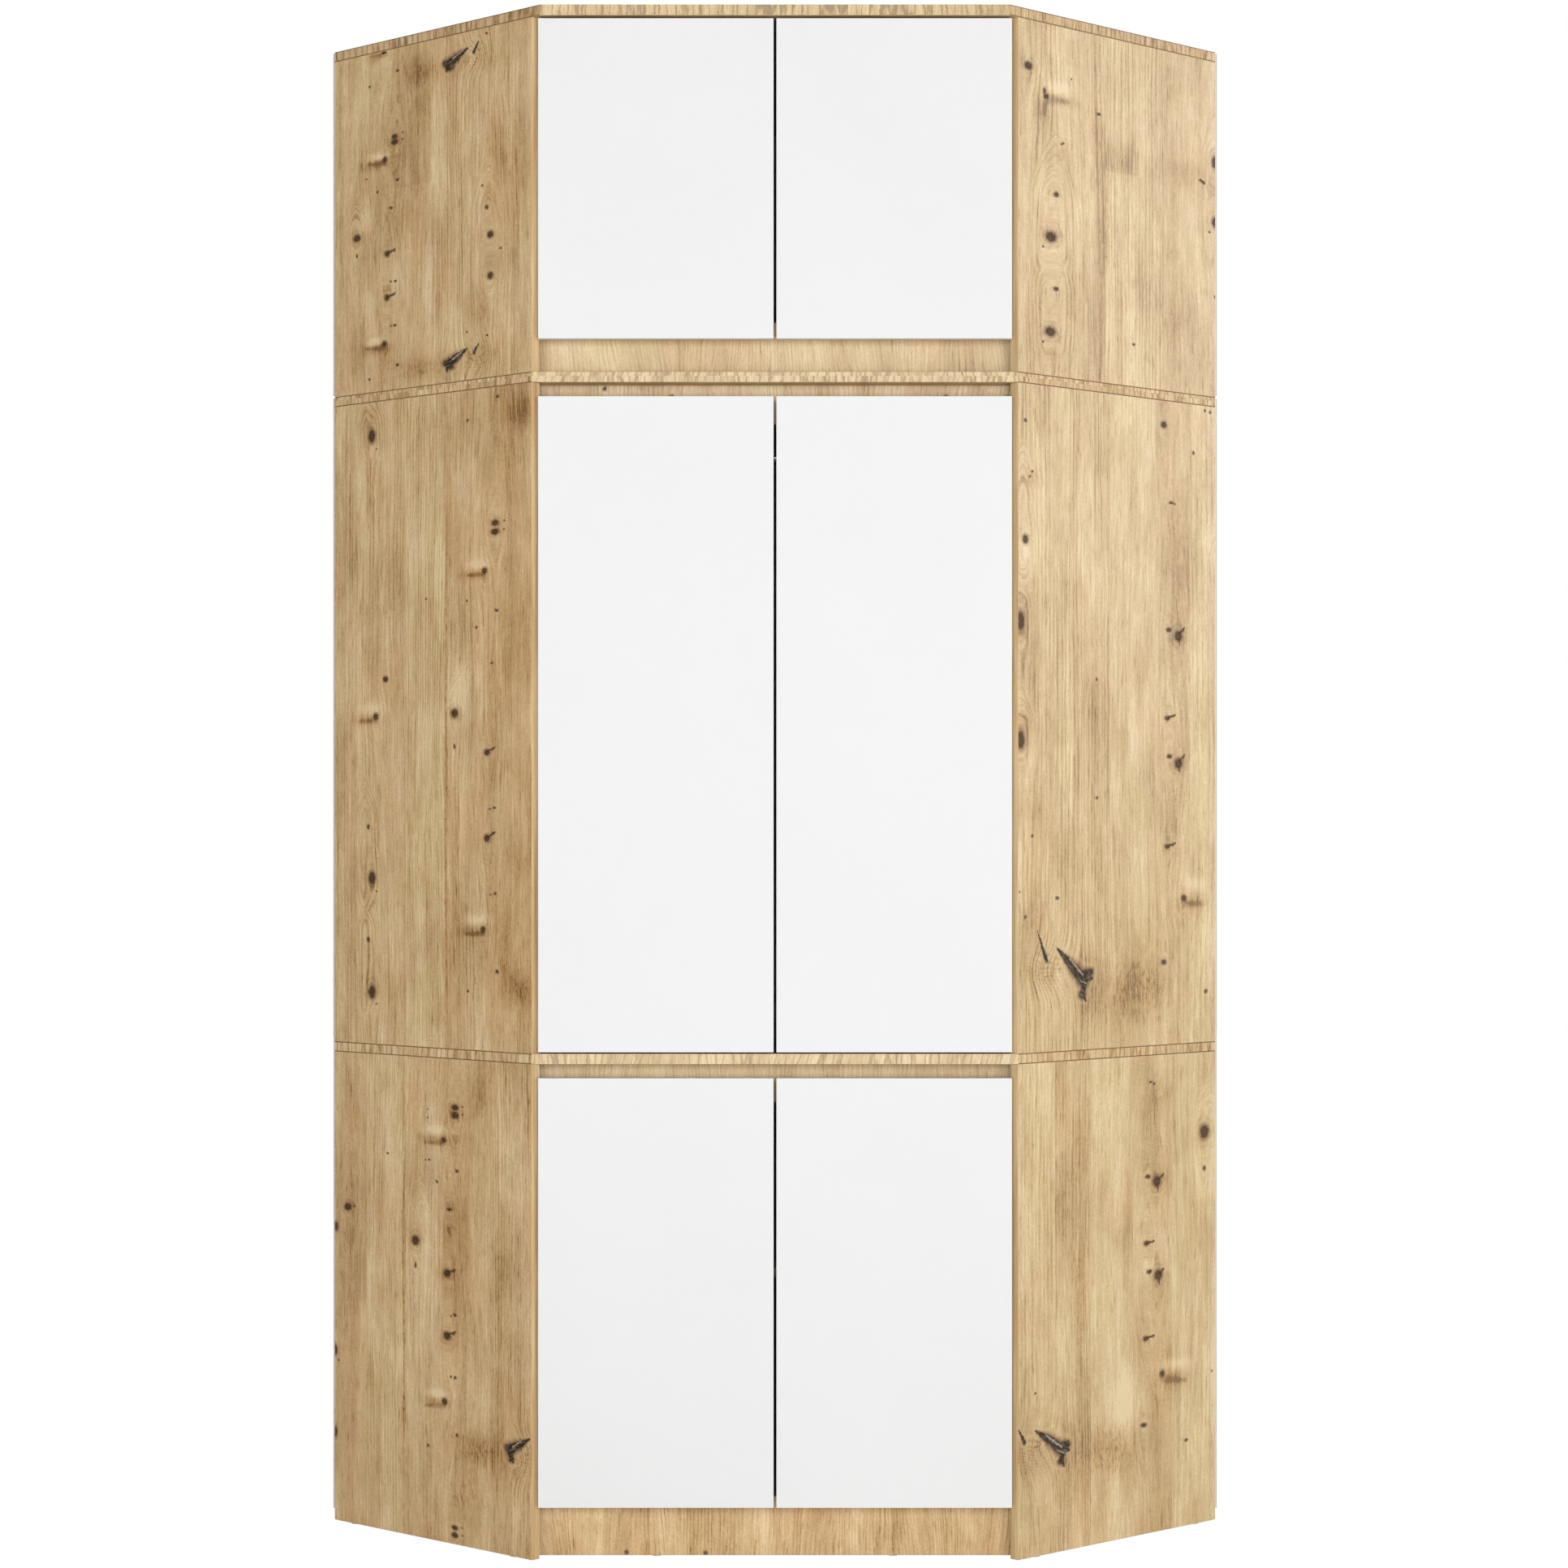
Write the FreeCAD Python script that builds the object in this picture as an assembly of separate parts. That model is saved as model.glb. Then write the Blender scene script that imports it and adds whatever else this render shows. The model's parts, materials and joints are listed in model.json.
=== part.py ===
import FreeCAD, Part
import math
import os

# Corner wardrobe with a diagonal front, made of faced chipboard.
# Its plan is a square whose front corner is cut off: two backs stand along the walls,
# a side panel stands out square from the end of each wall, and a pair of doors closes
# the diagonal front between them.  Three cabinets stand on each other: the lower and the
# middle one share a dividing board, and the upper one stands on the top of the middle one.
#
# The frame has Z up, the doors face -Y, and the origin is on the floor under the middle
# of the whole outline.  All sizes are in millimetres.
#
# Three ways of giving a place in plan are used:
#   wall places  along: from the rear corner along a wall, out: square out from that wall
#   depth        how far behind the front line, which joins the side panels' outer corners
#   door places  s: from the door's hinged edge, n: behind its rear face

# Outline and heights
wall_length = 1000.0
side_depth = 480.0
board_thickness = 16.0
back_thickness = 3.0
main_height = 1798.0
lower_height = 767.0
upper_height = 552.0
glide_height = 1.5
crown_overhang = 13.0
edge_radius = 0.8

# Fronts of the boards that lie behind the doors
plinth_height = 80.0
upper_plinth_height = 60.0
grip_rail_height = 60.0
rail_setback = 40.0
floor_board_setback = 14.0
shelf_setback = 75.0

# Doors
door_thickness = 16.0
door_proud = 7.5
door_edge_radius = 0.6
door_middle_gap = 4.2
door_side_clearance = 1.05
door_board_gap = 2.5
crown_door_gap = 3.5
lower_door_lift = 2.0
lower_grip_gap = 20.5
middle_grip_gap = 22.0
upper_grip_gap = 49.0

# Rear corner: a diagonal post that the two backs are fixed to
post_width = 120.0
post_clearance = 1.0
back_end_margin = 2.0
main_back_bottom = 20.0

# Shelf, its pins and the clothes rail
shelf_height = 420.0
shelf_clearance = 1.0
shelf_pin_wall_margin = 72.0
shelf_pin_front_margin = 40.0
shelf_pin_post_offset = 30.0
shelf_pin_radius = 2.5
shelf_pin_length = 18.0
shelf_pin_in_board = 9.0
shelf_hole_pitch = 32.0
spare_hole_count = 2
rail_radius = 12.5
rail_wall = 1.2
rail_drop = 72.0
rail_half_length = 400.0
rail_depth = 430.0
bracket_width = 12.0
bracket_ring_wall = 3.5
bracket_flange_radius = 20.0
bracket_flange_thickness = 3.0
bracket_end_wall = 2.5
bracket_screw_offset = 13.0

# Glides under the lower cabinet
glide_radius = 7.0
glide_chamfer = 0.5
glide_end_margin = 48.0
glide_plinth_offset = 180.0
glide_nail_radius = 1.2
glide_nail_length = 14.0

# Concealed hinge: a cup in the door, a pin across it and a cranked arm on the side panel
cup_radius = 17.4
cup_wall = 1.1
cup_depth = 12.0
cup_floor = 0.8
cup_inset = 22.0
cup_flange_radius = 19.5
cup_flange_thickness = 1.0
cup_wing_half_width = 9.0
cup_wing_half_length = 29.0
cup_screw_offset = 24.0
cup_lug_gap = 0.5
cup_lug_half_width = 3.0
cup_lug_depth = 5.5
pin_inset = 9.5
pin_depth = 8.5
pin_radius = 1.3
pin_half_length = 10.5
eye_radius = 2.5
neck_thickness = 2.4
neck_half_height = 5.0
neck_inset = 22.5
arm_height = 8.0
arm_half_width = 7.0
arm_reach = 58.0
arm_lead = 8.0
plate_wing_thickness = 2.5
plate_block_height = 9.0
plate_block_half_width = 6.0
plate_block_inset = 1.0
plate_block_length = 42.0
plate_wing_half_length = 26.0
plate_wing_half_width = 9.0
plate_screw_setback = 37.0
plate_screw_offset = 16.0
arm_screw_setback = 47.0
door_hinge_margin = 90.0
upper_hinge_margin = 80.0
lower_hinge_count = 2
middle_hinge_count = 3
upper_hinge_count = 2
arm_corner_radius = 1.5
cup_wing_corner_radius = 7.2

# Joining hardware
cam_radius = 7.4
cam_skin = 3.5
cam_reach = 34.0
bolt_radius = 3.0
bolt_bore_radius = 4.0
thread_radius = 2.5
blind_skin = 4.5
dowel_radius = 4.0
dowel_length_in_end = 24.0
cam_end_margin = 79.0
dowel_step = 40.0
lower_cam_shift = 20.0
floor_cam_shift = 30.0
cross_dowel_offset = 257.0

# Screws
plate_screw_radius = 2.45
plate_screw_length = 11.0
plate_screw_head_radius = 4.0
cup_screw_radius = 1.7
cup_screw_length = 11.0
cup_screw_head_radius = 3.6
arm_screw_radius = 2.0
arm_screw_head_radius = 3.8
bracket_screw_radius = 1.8
bracket_screw_length = 11.0
bracket_screw_head_radius = 3.4
screw_head_height = 1.4

# Clearances
bore_clearance = 0.1
screw_clearance = 0.05
dowel_clearance = 0.05
dowel_end_clearance = 0.5
pin_clearance = 0.06
pin_seat_clearance = 0.02
tube_clearance = 0.1

# Places worked out from the sizes above
ROOT2 = math.sqrt(2)
UP = FreeCAD.Vector(0, 0, 1)
BACKWARD = FreeCAD.Vector(0, 1, 0)
total_height = main_height + upper_height
corner_distance = (wall_length + side_depth) / ROOT2
total_depth = corner_distance + crown_overhang
rear_corner_y = total_depth / 2.0
front_line_y = rear_corner_y - corner_distance
front_half_width = (wall_length - side_depth) / ROOT2
inner_face = wall_length - board_thickness

dividing_under = lower_height - board_thickness
main_top_under = main_height - board_thickness
crown_under = total_height - board_thickness
floor_board_top = plinth_height + board_thickness
upper_floor_under = main_height + upper_plinth_height
upper_floor_top = upper_floor_under + board_thickness

door_rear_y = front_line_y - door_proud + door_thickness
door_rear_depth = door_thickness - door_proud
door_outer_x = front_half_width - door_rear_depth - door_side_clearance * ROOT2
door_width = door_outer_x - door_middle_gap / 2.0

# Bottom, top, hinge margin and number of hinges of each pair of doors
door_rows = {
    "lower": (
        plinth_height + lower_door_lift,
        dividing_under - lower_grip_gap,
        door_hinge_margin,
        lower_hinge_count,
    ),
    "middle": (
        lower_height + door_board_gap,
        main_top_under - middle_grip_gap,
        door_hinge_margin,
        middle_hinge_count,
    ),
    "upper": (
        main_height + upper_grip_gap,
        crown_under - crown_door_gap,
        upper_hinge_margin,
        upper_hinge_count,
    ),
}
sides = {"left": -1.0, "right": 1.0}

pieces = {}
holes = {}


def add(node, *solids):
    """Keeps solids under a node's name."""
    pieces.setdefault(node, []).extend(solids)


def drill(node, radius, start, direction, depth):
    """Notes a round hole that is cut into a node at the end."""
    holes.setdefault(node, []).append(Part.makeCylinder(radius, depth, start, direction))


def wall_xy(side, along, out):
    """Plan place of a wall place, on the left (-1) or the right (+1)."""
    x = side * (along - out) / ROOT2
    y = rear_corner_y - (along + out) / ROOT2
    return x, y


def wall_point(side, along, out, z):
    """Space place of a wall place."""
    x, y = wall_xy(side, along, out)
    return FreeCAD.Vector(x, y, z)


def outward(side):
    """Direction from inside the cabinet square through a side panel."""
    return FreeCAD.Vector(side / ROOT2, -1.0 / ROOT2, 0)


def door_xy(side, s, n):
    """Plan place of a door place."""
    return side * (door_outer_x - s), door_rear_y + n


def door_point(side, s, n, z):
    """Space place of a door place."""
    x, y = door_xy(side, s, n)
    return FreeCAD.Vector(x, y, z)


def prism(points, bottom, top, radius=0.0):
    """Upright solid on a plan outline, with its edges rounded where a radius is given."""
    corners = [FreeCAD.Vector(x, y, bottom) for x, y in points]
    outline = Part.makePolygon(corners + corners[:1])
    solid = Part.Face(outline).extrude(FreeCAD.Vector(0, 0, top - bottom))
    if solid.Volume < 0:
        solid.reverse()
    if radius > 0:
        solid = solid.makeFillet(radius, solid.Edges)
    return solid


def strip(points, thickness, bottom, top):
    """Upright band of even thickness along a bent line in plan, round at its bends."""
    half = thickness / 2.0
    band = None
    for (x0, y0), (x1, y1) in zip(points, points[1:]):
        length = math.hypot(x1 - x0, y1 - y0)
        side_x = -(y1 - y0) / length * half
        side_y = (x1 - x0) / length * half
        corners = [
            (x0 + side_x, y0 + side_y),
            (x1 + side_x, y1 + side_y),
            (x1 - side_x, y1 - side_y),
            (x0 - side_x, y0 - side_y),
        ]
        run = prism(corners, bottom, top)
        bend = Part.makeCylinder(half, top - bottom, FreeCAD.Vector(x1, y1, bottom))
        band = run.fuse(bend) if band is None else band.fuse([run, bend])
    return band.removeSplitter()


def front_sum(depth):
    """Sum of along and out for places at a depth behind the front line."""
    return wall_length + side_depth - depth * ROOT2


def board_outline(side_limit, rear_limit, depth, corner_sum=None):
    """Five-sided plan outline, or six-sided where the rear corner is cut at corner_sum."""
    front = front_sum(depth)
    if corner_sum is None:
        rear = [(rear_limit, rear_limit)]
    else:
        rear = [(rear_limit, corner_sum - rear_limit), (corner_sum - rear_limit, rear_limit)]
    places = rear + [(side_limit, rear_limit), (side_limit, front - side_limit)]
    places += [(front - side_limit, side_limit), (rear_limit, side_limit)]
    return [wall_xy(-1.0, along, out) for along, out in places]


def cross_outline(side_limit, depth, thickness):
    """Plan outline of a board that runs between the side panels, parallel to the front."""
    front = front_sum(depth)
    rear = front_sum(depth + thickness)
    places = [(side_limit, front - side_limit), (front - side_limit, side_limit)]
    places += [(rear - side_limit, side_limit), (side_limit, rear - side_limit)]
    return [wall_xy(-1.0, along, out) for along, out in places]


def side_panel(node, side, bottom, top):
    """A side panel, square to its wall, with its front edge cut square."""
    outline = [
        wall_xy(side, inner_face, back_thickness),
        wall_xy(side, wall_length, back_thickness),
        wall_xy(side, wall_length, side_depth),
        wall_xy(side, inner_face, side_depth),
    ]
    add(node, prism(outline, bottom, top, edge_radius))


def cam_joint(holder, target, centre, bolt_way, face_way):
    """A cam lock in one board draws a bolt that is screwed into another.

    centre lies in the middle of the holder's thickness, bolt_way points to the target and
    face_way points out of the face that the cam is put in from."""
    half = board_thickness / 2.0
    cam_depth = board_thickness - cam_skin
    thread_depth = board_thickness - blind_skin
    face = centre + face_way * half
    seam = centre + bolt_way * cam_reach
    drill(holder, cam_radius + bore_clearance, face, face_way * -1.0, cam_depth)
    drill(holder, bolt_bore_radius, centre, bolt_way, cam_reach)
    drill(target, thread_radius + screw_clearance, seam, bolt_way, thread_depth)
    cam = Part.makeCylinder(cam_radius, cam_depth - bore_clearance, face, face_way * -1.0)
    slot = Part.makeCylinder(bolt_radius + bore_clearance * 2, cam_radius + bolt_radius, centre, bolt_way)
    cross_depth = cam_depth * 0.2
    cross_half = cam_radius * 0.55
    across = bolt_way.cross(face_way)
    for way in (bolt_way, across):
        start = face + way * -cross_half
        slit = Part.makeCylinder(cross_depth * 0.5, cross_half * 2.0, start, way)
        cam = cam.cut(slit)
    add("cam_locks", cam.cut(slot))
    tip = centre + bolt_way * bore_clearance
    shank = Part.makeCylinder(bolt_radius, cam_reach - bore_clearance, tip, bolt_way)
    thread = Part.makeCylinder(thread_radius, thread_depth - bore_clearance, seam, bolt_way)
    add("cam_bolts", shank.fuse(thread))


def dowel_joint(end_node, face_node, seam, way):
    """A wooden dowel from the end of one board into the face of another, along way."""
    in_face = board_thickness - blind_skin
    drill(end_node, dowel_radius, seam, way * -1.0, dowel_length_in_end)
    drill(face_node, dowel_radius, seam, way, in_face)
    start = seam - way * (dowel_length_in_end - dowel_end_clearance)
    length = dowel_length_in_end + in_face - dowel_end_clearance * 2.0
    add("dowels", Part.makeCylinder(dowel_radius - dowel_clearance, length, start, way))


def headed_screw(node, radius, length, head_radius, seat, way):
    """A screw whose head lies on seat and whose shank runs along way."""
    shank = Part.makeCylinder(radius, length, seat, way)
    head = Part.makeCylinder(head_radius, screw_head_height, seat, way * -1.0)
    add(node, shank.fuse(head).removeSplitter())


def carcass_boards():
    """The boards that lie flat: floor boards, dividing board, middle top and crown."""
    full = board_outline(wall_length, back_thickness, 0.0)
    crown = board_outline(wall_length, back_thickness, -crown_overhang)
    inset = board_outline(inner_face, back_thickness, floor_board_setback)
    add("floor_board", prism(inset, plinth_height, floor_board_top, edge_radius))
    add("dividing_board", prism(full, dividing_under, lower_height, edge_radius))
    add("main_top_board", prism(full, main_top_under, main_height, edge_radius))
    add("upper_floor_board", prism(inset, upper_floor_under, upper_floor_top, edge_radius))
    add("crown_board", prism(crown, crown_under, total_height, edge_radius))


def side_panels():
    """Six side panels, each standing between the boards of its own cabinet."""
    for name, side in sides.items():
        side_panel("lower_side_" + name, side, glide_height, dividing_under)
        side_panel("middle_side_" + name, side, lower_height, main_top_under)
        side_panel("upper_side_" + name, side, main_height, crown_under)


def cross_boards():
    """Plinths under the floor boards and finger-grip rails over the doors."""
    outline = cross_outline(inner_face, rail_setback, board_thickness)
    add("plinth", prism(outline, glide_height, plinth_height, edge_radius))
    add("upper_plinth", prism(outline, main_height, upper_floor_under, edge_radius))
    rail_bottom = dividing_under - grip_rail_height
    add("lower_grip_rail", prism(outline, rail_bottom, dividing_under, edge_radius))
    rail_bottom = main_top_under - grip_rail_height
    add("middle_grip_rail", prism(outline, rail_bottom, main_top_under, edge_radius))


post_front_sum = back_thickness * 2.0 + post_width / ROOT2
post_rear_sum = post_front_sum - board_thickness * ROOT2


def corner_post(node, bottom, top):
    """A diagonal post in the rear corner, with its edges cut to lie against both backs."""
    places = [
        (back_thickness, post_rear_sum - back_thickness),
        (post_rear_sum - back_thickness, back_thickness),
        (post_front_sum - back_thickness, back_thickness),
        (back_thickness, post_front_sum - back_thickness),
    ]
    outline = [wall_xy(-1.0, along, out) for along, out in places]
    add(node, prism(outline, bottom, top))


def post_middle(z):
    """Place in the middle of a corner post's section."""
    half_sum = (post_front_sum + post_rear_sum) / 4.0
    return wall_point(-1.0, half_sum, half_sum, z)


def corner_posts():
    """Rear corner posts of the three cabinets and the foot under the rear corner."""
    corner_post("rear_foot", glide_height, plinth_height)
    corner_post("lower_corner_post", floor_board_top, dividing_under)
    corner_post("middle_corner_post", lower_height, main_top_under)
    corner_post("upper_corner_post", upper_floor_top, crown_under)
    for post, board, z in (
        ("rear_foot", "floor_board", plinth_height),
        ("lower_corner_post", "dividing_board", dividing_under),
        ("middle_corner_post", "main_top_board", main_top_under),
        ("upper_corner_post", "crown_board", crown_under),
    ):
        dowel_joint(post, board, post_middle(z), UP)


def backs():
    """Thin backs fixed to the rear edges; the right one runs up against the left one."""
    spans = {
        "main_back_": (main_back_bottom, main_height - back_end_margin),
        "upper_back_": (main_height + back_end_margin, total_height - back_end_margin),
    }
    for stem, (bottom, top) in spans.items():
        left = [(0.0, 0.0), (wall_length, 0.0), (wall_length, back_thickness), (0.0, back_thickness)]
        outline = [wall_xy(-1.0, along, out) for along, out in left]
        add(stem + "left", prism(outline, bottom, top))
        right = [(back_thickness, 0.0), (wall_length, 0.0)]
        right += [(wall_length, back_thickness), (back_thickness, back_thickness)]
        outline = [wall_xy(1.0, along, out) for along, out in right]
        add(stem + "right", prism(outline, bottom, top))


def pin_hole_row(node, place, way, pin_z):
    """Holes for a shelf pin at its height and at spare heights above and below it."""
    for step in range(-spare_hole_count, spare_hole_count + 1):
        seat = place + UP * (pin_z + shelf_hole_pitch * step)
        drill(node, shelf_pin_radius + screw_clearance, seat, way, shelf_pin_in_board + screw_clearance)


def lower_shelf():
    """The loose shelf of the lower cabinet and the pins that it lies on."""
    side_limit = inner_face - shelf_clearance
    rear_limit = back_thickness + shelf_clearance
    cut_sum = post_front_sum + post_clearance * ROOT2
    outline = board_outline(side_limit, rear_limit, shelf_setback, cut_sum)
    add("lower_shelf", prism(outline, shelf_height, shelf_height + board_thickness, edge_radius))
    pin_z = shelf_height - shelf_pin_radius
    pin_out = shelf_pin_length - shelf_pin_in_board
    front_out = front_sum(shelf_setback) - side_limit
    post_face = rear_corner_y - post_front_sum / ROOT2
    for name, side in sides.items():
        for out in (shelf_pin_wall_margin, front_out - shelf_pin_front_margin):
            way = outward(side)
            start = wall_point(side, inner_face - pin_out, out, pin_z)
            add("shelf_pins", Part.makeCylinder(shelf_pin_radius, shelf_pin_length, start, way))
            pin_hole_row("lower_side_" + name, wall_point(side, inner_face, out, 0.0), way, pin_z)
        pin_x = side * shelf_pin_post_offset
        start = FreeCAD.Vector(pin_x, post_face - pin_out, pin_z)
        add("shelf_pins", Part.makeCylinder(shelf_pin_radius, shelf_pin_length, start, BACKWARD))
        pin_hole_row("lower_corner_post", FreeCAD.Vector(pin_x, post_face, 0.0), BACKWARD, pin_z)


def clothes_rail():
    """A tube across the middle cabinet, hung from its top by a closed bracket at each end."""
    y = front_line_y + rail_depth
    z = main_top_under - rail_drop
    start = FreeCAD.Vector(-rail_half_length, y, z)
    way = FreeCAD.Vector(1, 0, 0)
    tube = Part.makeCylinder(rail_radius, rail_half_length * 2.0, start, way)
    bore = Part.makeCylinder(rail_radius - rail_wall, rail_half_length * 2.0, start, way)
    add("clothes_rail", tube.cut(bore))
    ring_radius = rail_radius + bracket_ring_wall
    for side in sides.values():
        end_x = side * (rail_half_length + tube_clearance)
        inward = FreeCAD.Vector(-side, 0, 0)
        outer_face = FreeCAD.Vector(end_x + side * bracket_end_wall, y, z)
        depth = bracket_width + bracket_end_wall
        ring = Part.makeCylinder(ring_radius, depth, outer_face, inward)
        low_x = min(outer_face.x, outer_face.x - side * depth)
        stem_base = FreeCAD.Vector(low_x, y - ring_radius * 0.5, z)
        stem = Part.makeBox(depth, ring_radius, rail_drop - bracket_flange_thickness / 2.0, stem_base)
        middle_x = low_x + depth / 2.0
        flange_under = main_top_under - bracket_flange_thickness
        flange_base = FreeCAD.Vector(middle_x, y, flange_under)
        flange = Part.makeCylinder(bracket_flange_radius, bracket_flange_thickness, flange_base)
        tube_end = FreeCAD.Vector(end_x, y, z)
        seat = Part.makeCylinder(rail_radius + tube_clearance, bracket_width, tube_end, inward)
        bracket = ring.fuse([stem, flange]).cut(seat)
        for across in (-1.0, 1.0):
            hole_y = y + across * bracket_screw_offset
            screw_seat = FreeCAD.Vector(middle_x, hole_y, flange_under)
            clear_radius = bracket_screw_radius + screw_clearance
            bracket = bracket.cut(Part.makeCylinder(clear_radius, bracket_flange_thickness, screw_seat))
            drill("main_top_board", clear_radius, screw_seat, UP, bracket_screw_length + screw_clearance)
            headed_screw(
                "bracket_screws",
                bracket_screw_radius,
                bracket_screw_length,
                bracket_screw_head_radius,
                screw_seat,
                UP,
            )
        add("rail_brackets", bracket.removeSplitter())


def glides():
    """Plastic glides nailed under the side panels, the plinth and the rear foot."""
    panel_middle = wall_length - board_thickness / 2.0
    spots = []
    for name, side in sides.items():
        for out in (glide_end_margin, side_depth - glide_end_margin):
            spots.append(("lower_side_" + name, wall_point(side, panel_middle, out, 0.0)))
        plinth_y = front_line_y + rail_setback + board_thickness / 2.0
        spots.append(("plinth", FreeCAD.Vector(side * glide_plinth_offset, plinth_y, 0.0)))
    spots.append(("rear_foot", post_middle(0.0)))
    for node, spot in spots:
        disc = Part.makeCylinder(glide_radius, glide_height, spot)
        disc = disc.makeChamfer(glide_chamfer, [disc.Edges[0], disc.Edges[2]])
        nail = Part.makeCylinder(glide_nail_radius, glide_height + glide_nail_length, spot)
        add("floor_glides", disc.fuse(nail).removeSplitter())
        nail_depth = glide_height + glide_nail_length + bore_clearance
        drill(node, glide_nail_radius + screw_clearance, spot, UP, nail_depth)


def carcass_joints():
    """Cam locks and dowels that hold the boards together."""
    panel_middle = wall_length - board_thickness / 2.0
    near_wall = cam_end_margin
    near_front = side_depth - cam_end_margin
    down = UP * -1.0
    top_ends = (
        ("lower_side_", "dividing_board", dividing_under),
        ("middle_side_", "main_top_board", main_top_under),
        ("upper_side_", "crown_board", crown_under),
    )
    for name, side in sides.items():
        inward = outward(side) * -1.0
        for stem, board, seam_z in top_ends:
            for out, step in ((near_wall, dowel_step), (near_front, -dowel_step)):
                centre = wall_point(side, panel_middle, out, seam_z - cam_reach)
                cam_joint(stem + name, board, centre, UP, inward)
                seam = wall_point(side, panel_middle, out + step, seam_z)
                dowel_joint(stem + name, board, seam, UP)
        low_wall = near_wall + lower_cam_shift
        low_front = near_front - lower_cam_shift
        for out, step in ((low_wall, dowel_step), (low_front, -dowel_step)):
            centre = wall_point(side, panel_middle, out, lower_height + cam_reach)
            cam_joint("middle_side_" + name, "dividing_board", centre, down, inward)
            for stem, board, seam_z in (
                ("middle_side_", "dividing_board", lower_height),
                ("upper_side_", "main_top_board", main_height),
            ):
                seam = wall_point(side, panel_middle, out + step, seam_z)
                dowel_joint(stem + name, board, seam, down)
        for board, panel, under in (
            ("floor_board", "lower_side_", plinth_height),
            ("upper_floor_board", "upper_side_", upper_floor_under),
        ):
            for out in (near_wall + floor_cam_shift, near_front - floor_cam_shift):
                middle_z = under + board_thickness / 2.0
                centre = wall_point(side, inner_face - cam_reach, out, middle_z)
                cam_joint(board, panel + name, centre, outward(side), down)
    cross_y = front_line_y + rail_setback + board_thickness / 2.0
    for node, board, seam_z in (
        ("plinth", "floor_board", plinth_height),
        ("upper_plinth", "upper_floor_board", upper_floor_under),
        ("lower_grip_rail", "dividing_board", dividing_under),
        ("middle_grip_rail", "main_top_board", main_top_under),
    ):
        for x in (-cross_dowel_offset, 0.0, cross_dowel_offset):
            seam = FreeCAD.Vector(x, cross_y, seam_z)
            dowel_joint(node, board, seam, UP)


def hinge_cup(node_stem, door, side, z):
    """The door's half of a hinge: cup, pin and the two screws of its flange."""
    centre_bottom = door_point(side, cup_inset, -cup_depth, z)
    face_centre = door_point(side, cup_inset, 0.0, z)
    shell = Part.makeCylinder(cup_radius, cup_depth, centre_bottom, BACKWARD)
    ring = Part.makeCylinder(cup_flange_radius, cup_flange_thickness, face_centre, BACKWARD)
    wing_x = side * (door_outer_x - cup_inset) - cup_wing_half_width
    wing_base = FreeCAD.Vector(wing_x, door_rear_y, z - cup_wing_half_length)
    wing = Part.makeBox(cup_wing_half_width * 2, cup_flange_thickness, cup_wing_half_length * 2, wing_base)
    corners = [e for e in wing.Edges if abs(e.tangentAt(e.FirstParameter).y) > 0.9]
    wing = wing.makeFillet(cup_wing_corner_radius, corners)
    inner_radius = cup_radius - cup_wall
    hollow_base = door_point(side, cup_inset, cup_floor - cup_depth, z)
    hollow = Part.makeCylinder(inner_radius, cup_depth + cup_flange_thickness, hollow_base, BACKWARD)
    cup = shell.fuse([ring, wing]).cut(hollow)
    lug_bottom = neck_half_height + cup_lug_gap
    lug_low = -cup_depth + cup_floor / 2.0
    lug_depth = cup_depth - cup_lug_depth - cup_floor / 2.0
    keep = Part.makeCylinder(inner_radius + cup_wall / 2.0, cup_depth, centre_bottom, BACKWARD)
    lug_x = side * (door_outer_x - pin_inset) - cup_lug_half_width
    lugs = []
    for z_low in (z + lug_bottom, z - lug_bottom - cup_radius):
        lug_base = FreeCAD.Vector(lug_x, door_rear_y + lug_low, z_low)
        lug = Part.makeBox(cup_lug_half_width * 2, lug_depth, cup_radius, lug_base)
        lugs.append(lug.common(keep))
    cup = cup.fuse(lugs)
    pin_base = door_point(side, pin_inset, -pin_depth, z - pin_half_length)
    pin_hole = Part.makeCylinder(pin_radius + pin_seat_clearance, pin_half_length * 2, pin_base)
    cup = cup.cut(pin_hole)
    drill(door, cup_radius + bore_clearance, face_centre, BACKWARD * -1.0, cup_depth + bore_clearance)
    for offset in (-cup_screw_offset, cup_screw_offset):
        seat = door_point(side, cup_inset, cup_flange_thickness, z + offset)
        clear_radius = cup_screw_radius + screw_clearance
        cup = cup.cut(Part.makeCylinder(clear_radius, cup_flange_thickness, seat, BACKWARD * -1.0))
        drill(door, clear_radius, seat, BACKWARD * -1.0, cup_screw_length + screw_clearance)
        headed_screw(
            node_stem + "_cup_screws",
            cup_screw_radius,
            cup_screw_length,
            cup_screw_head_radius,
            seat,
            BACKWARD * -1.0,
        )
    add(node_stem + "_hinge_cups", cup.removeSplitter())
    add(node_stem + "_hinge_pins", Part.makeCylinder(pin_radius, pin_half_length * 2, pin_base))


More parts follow.
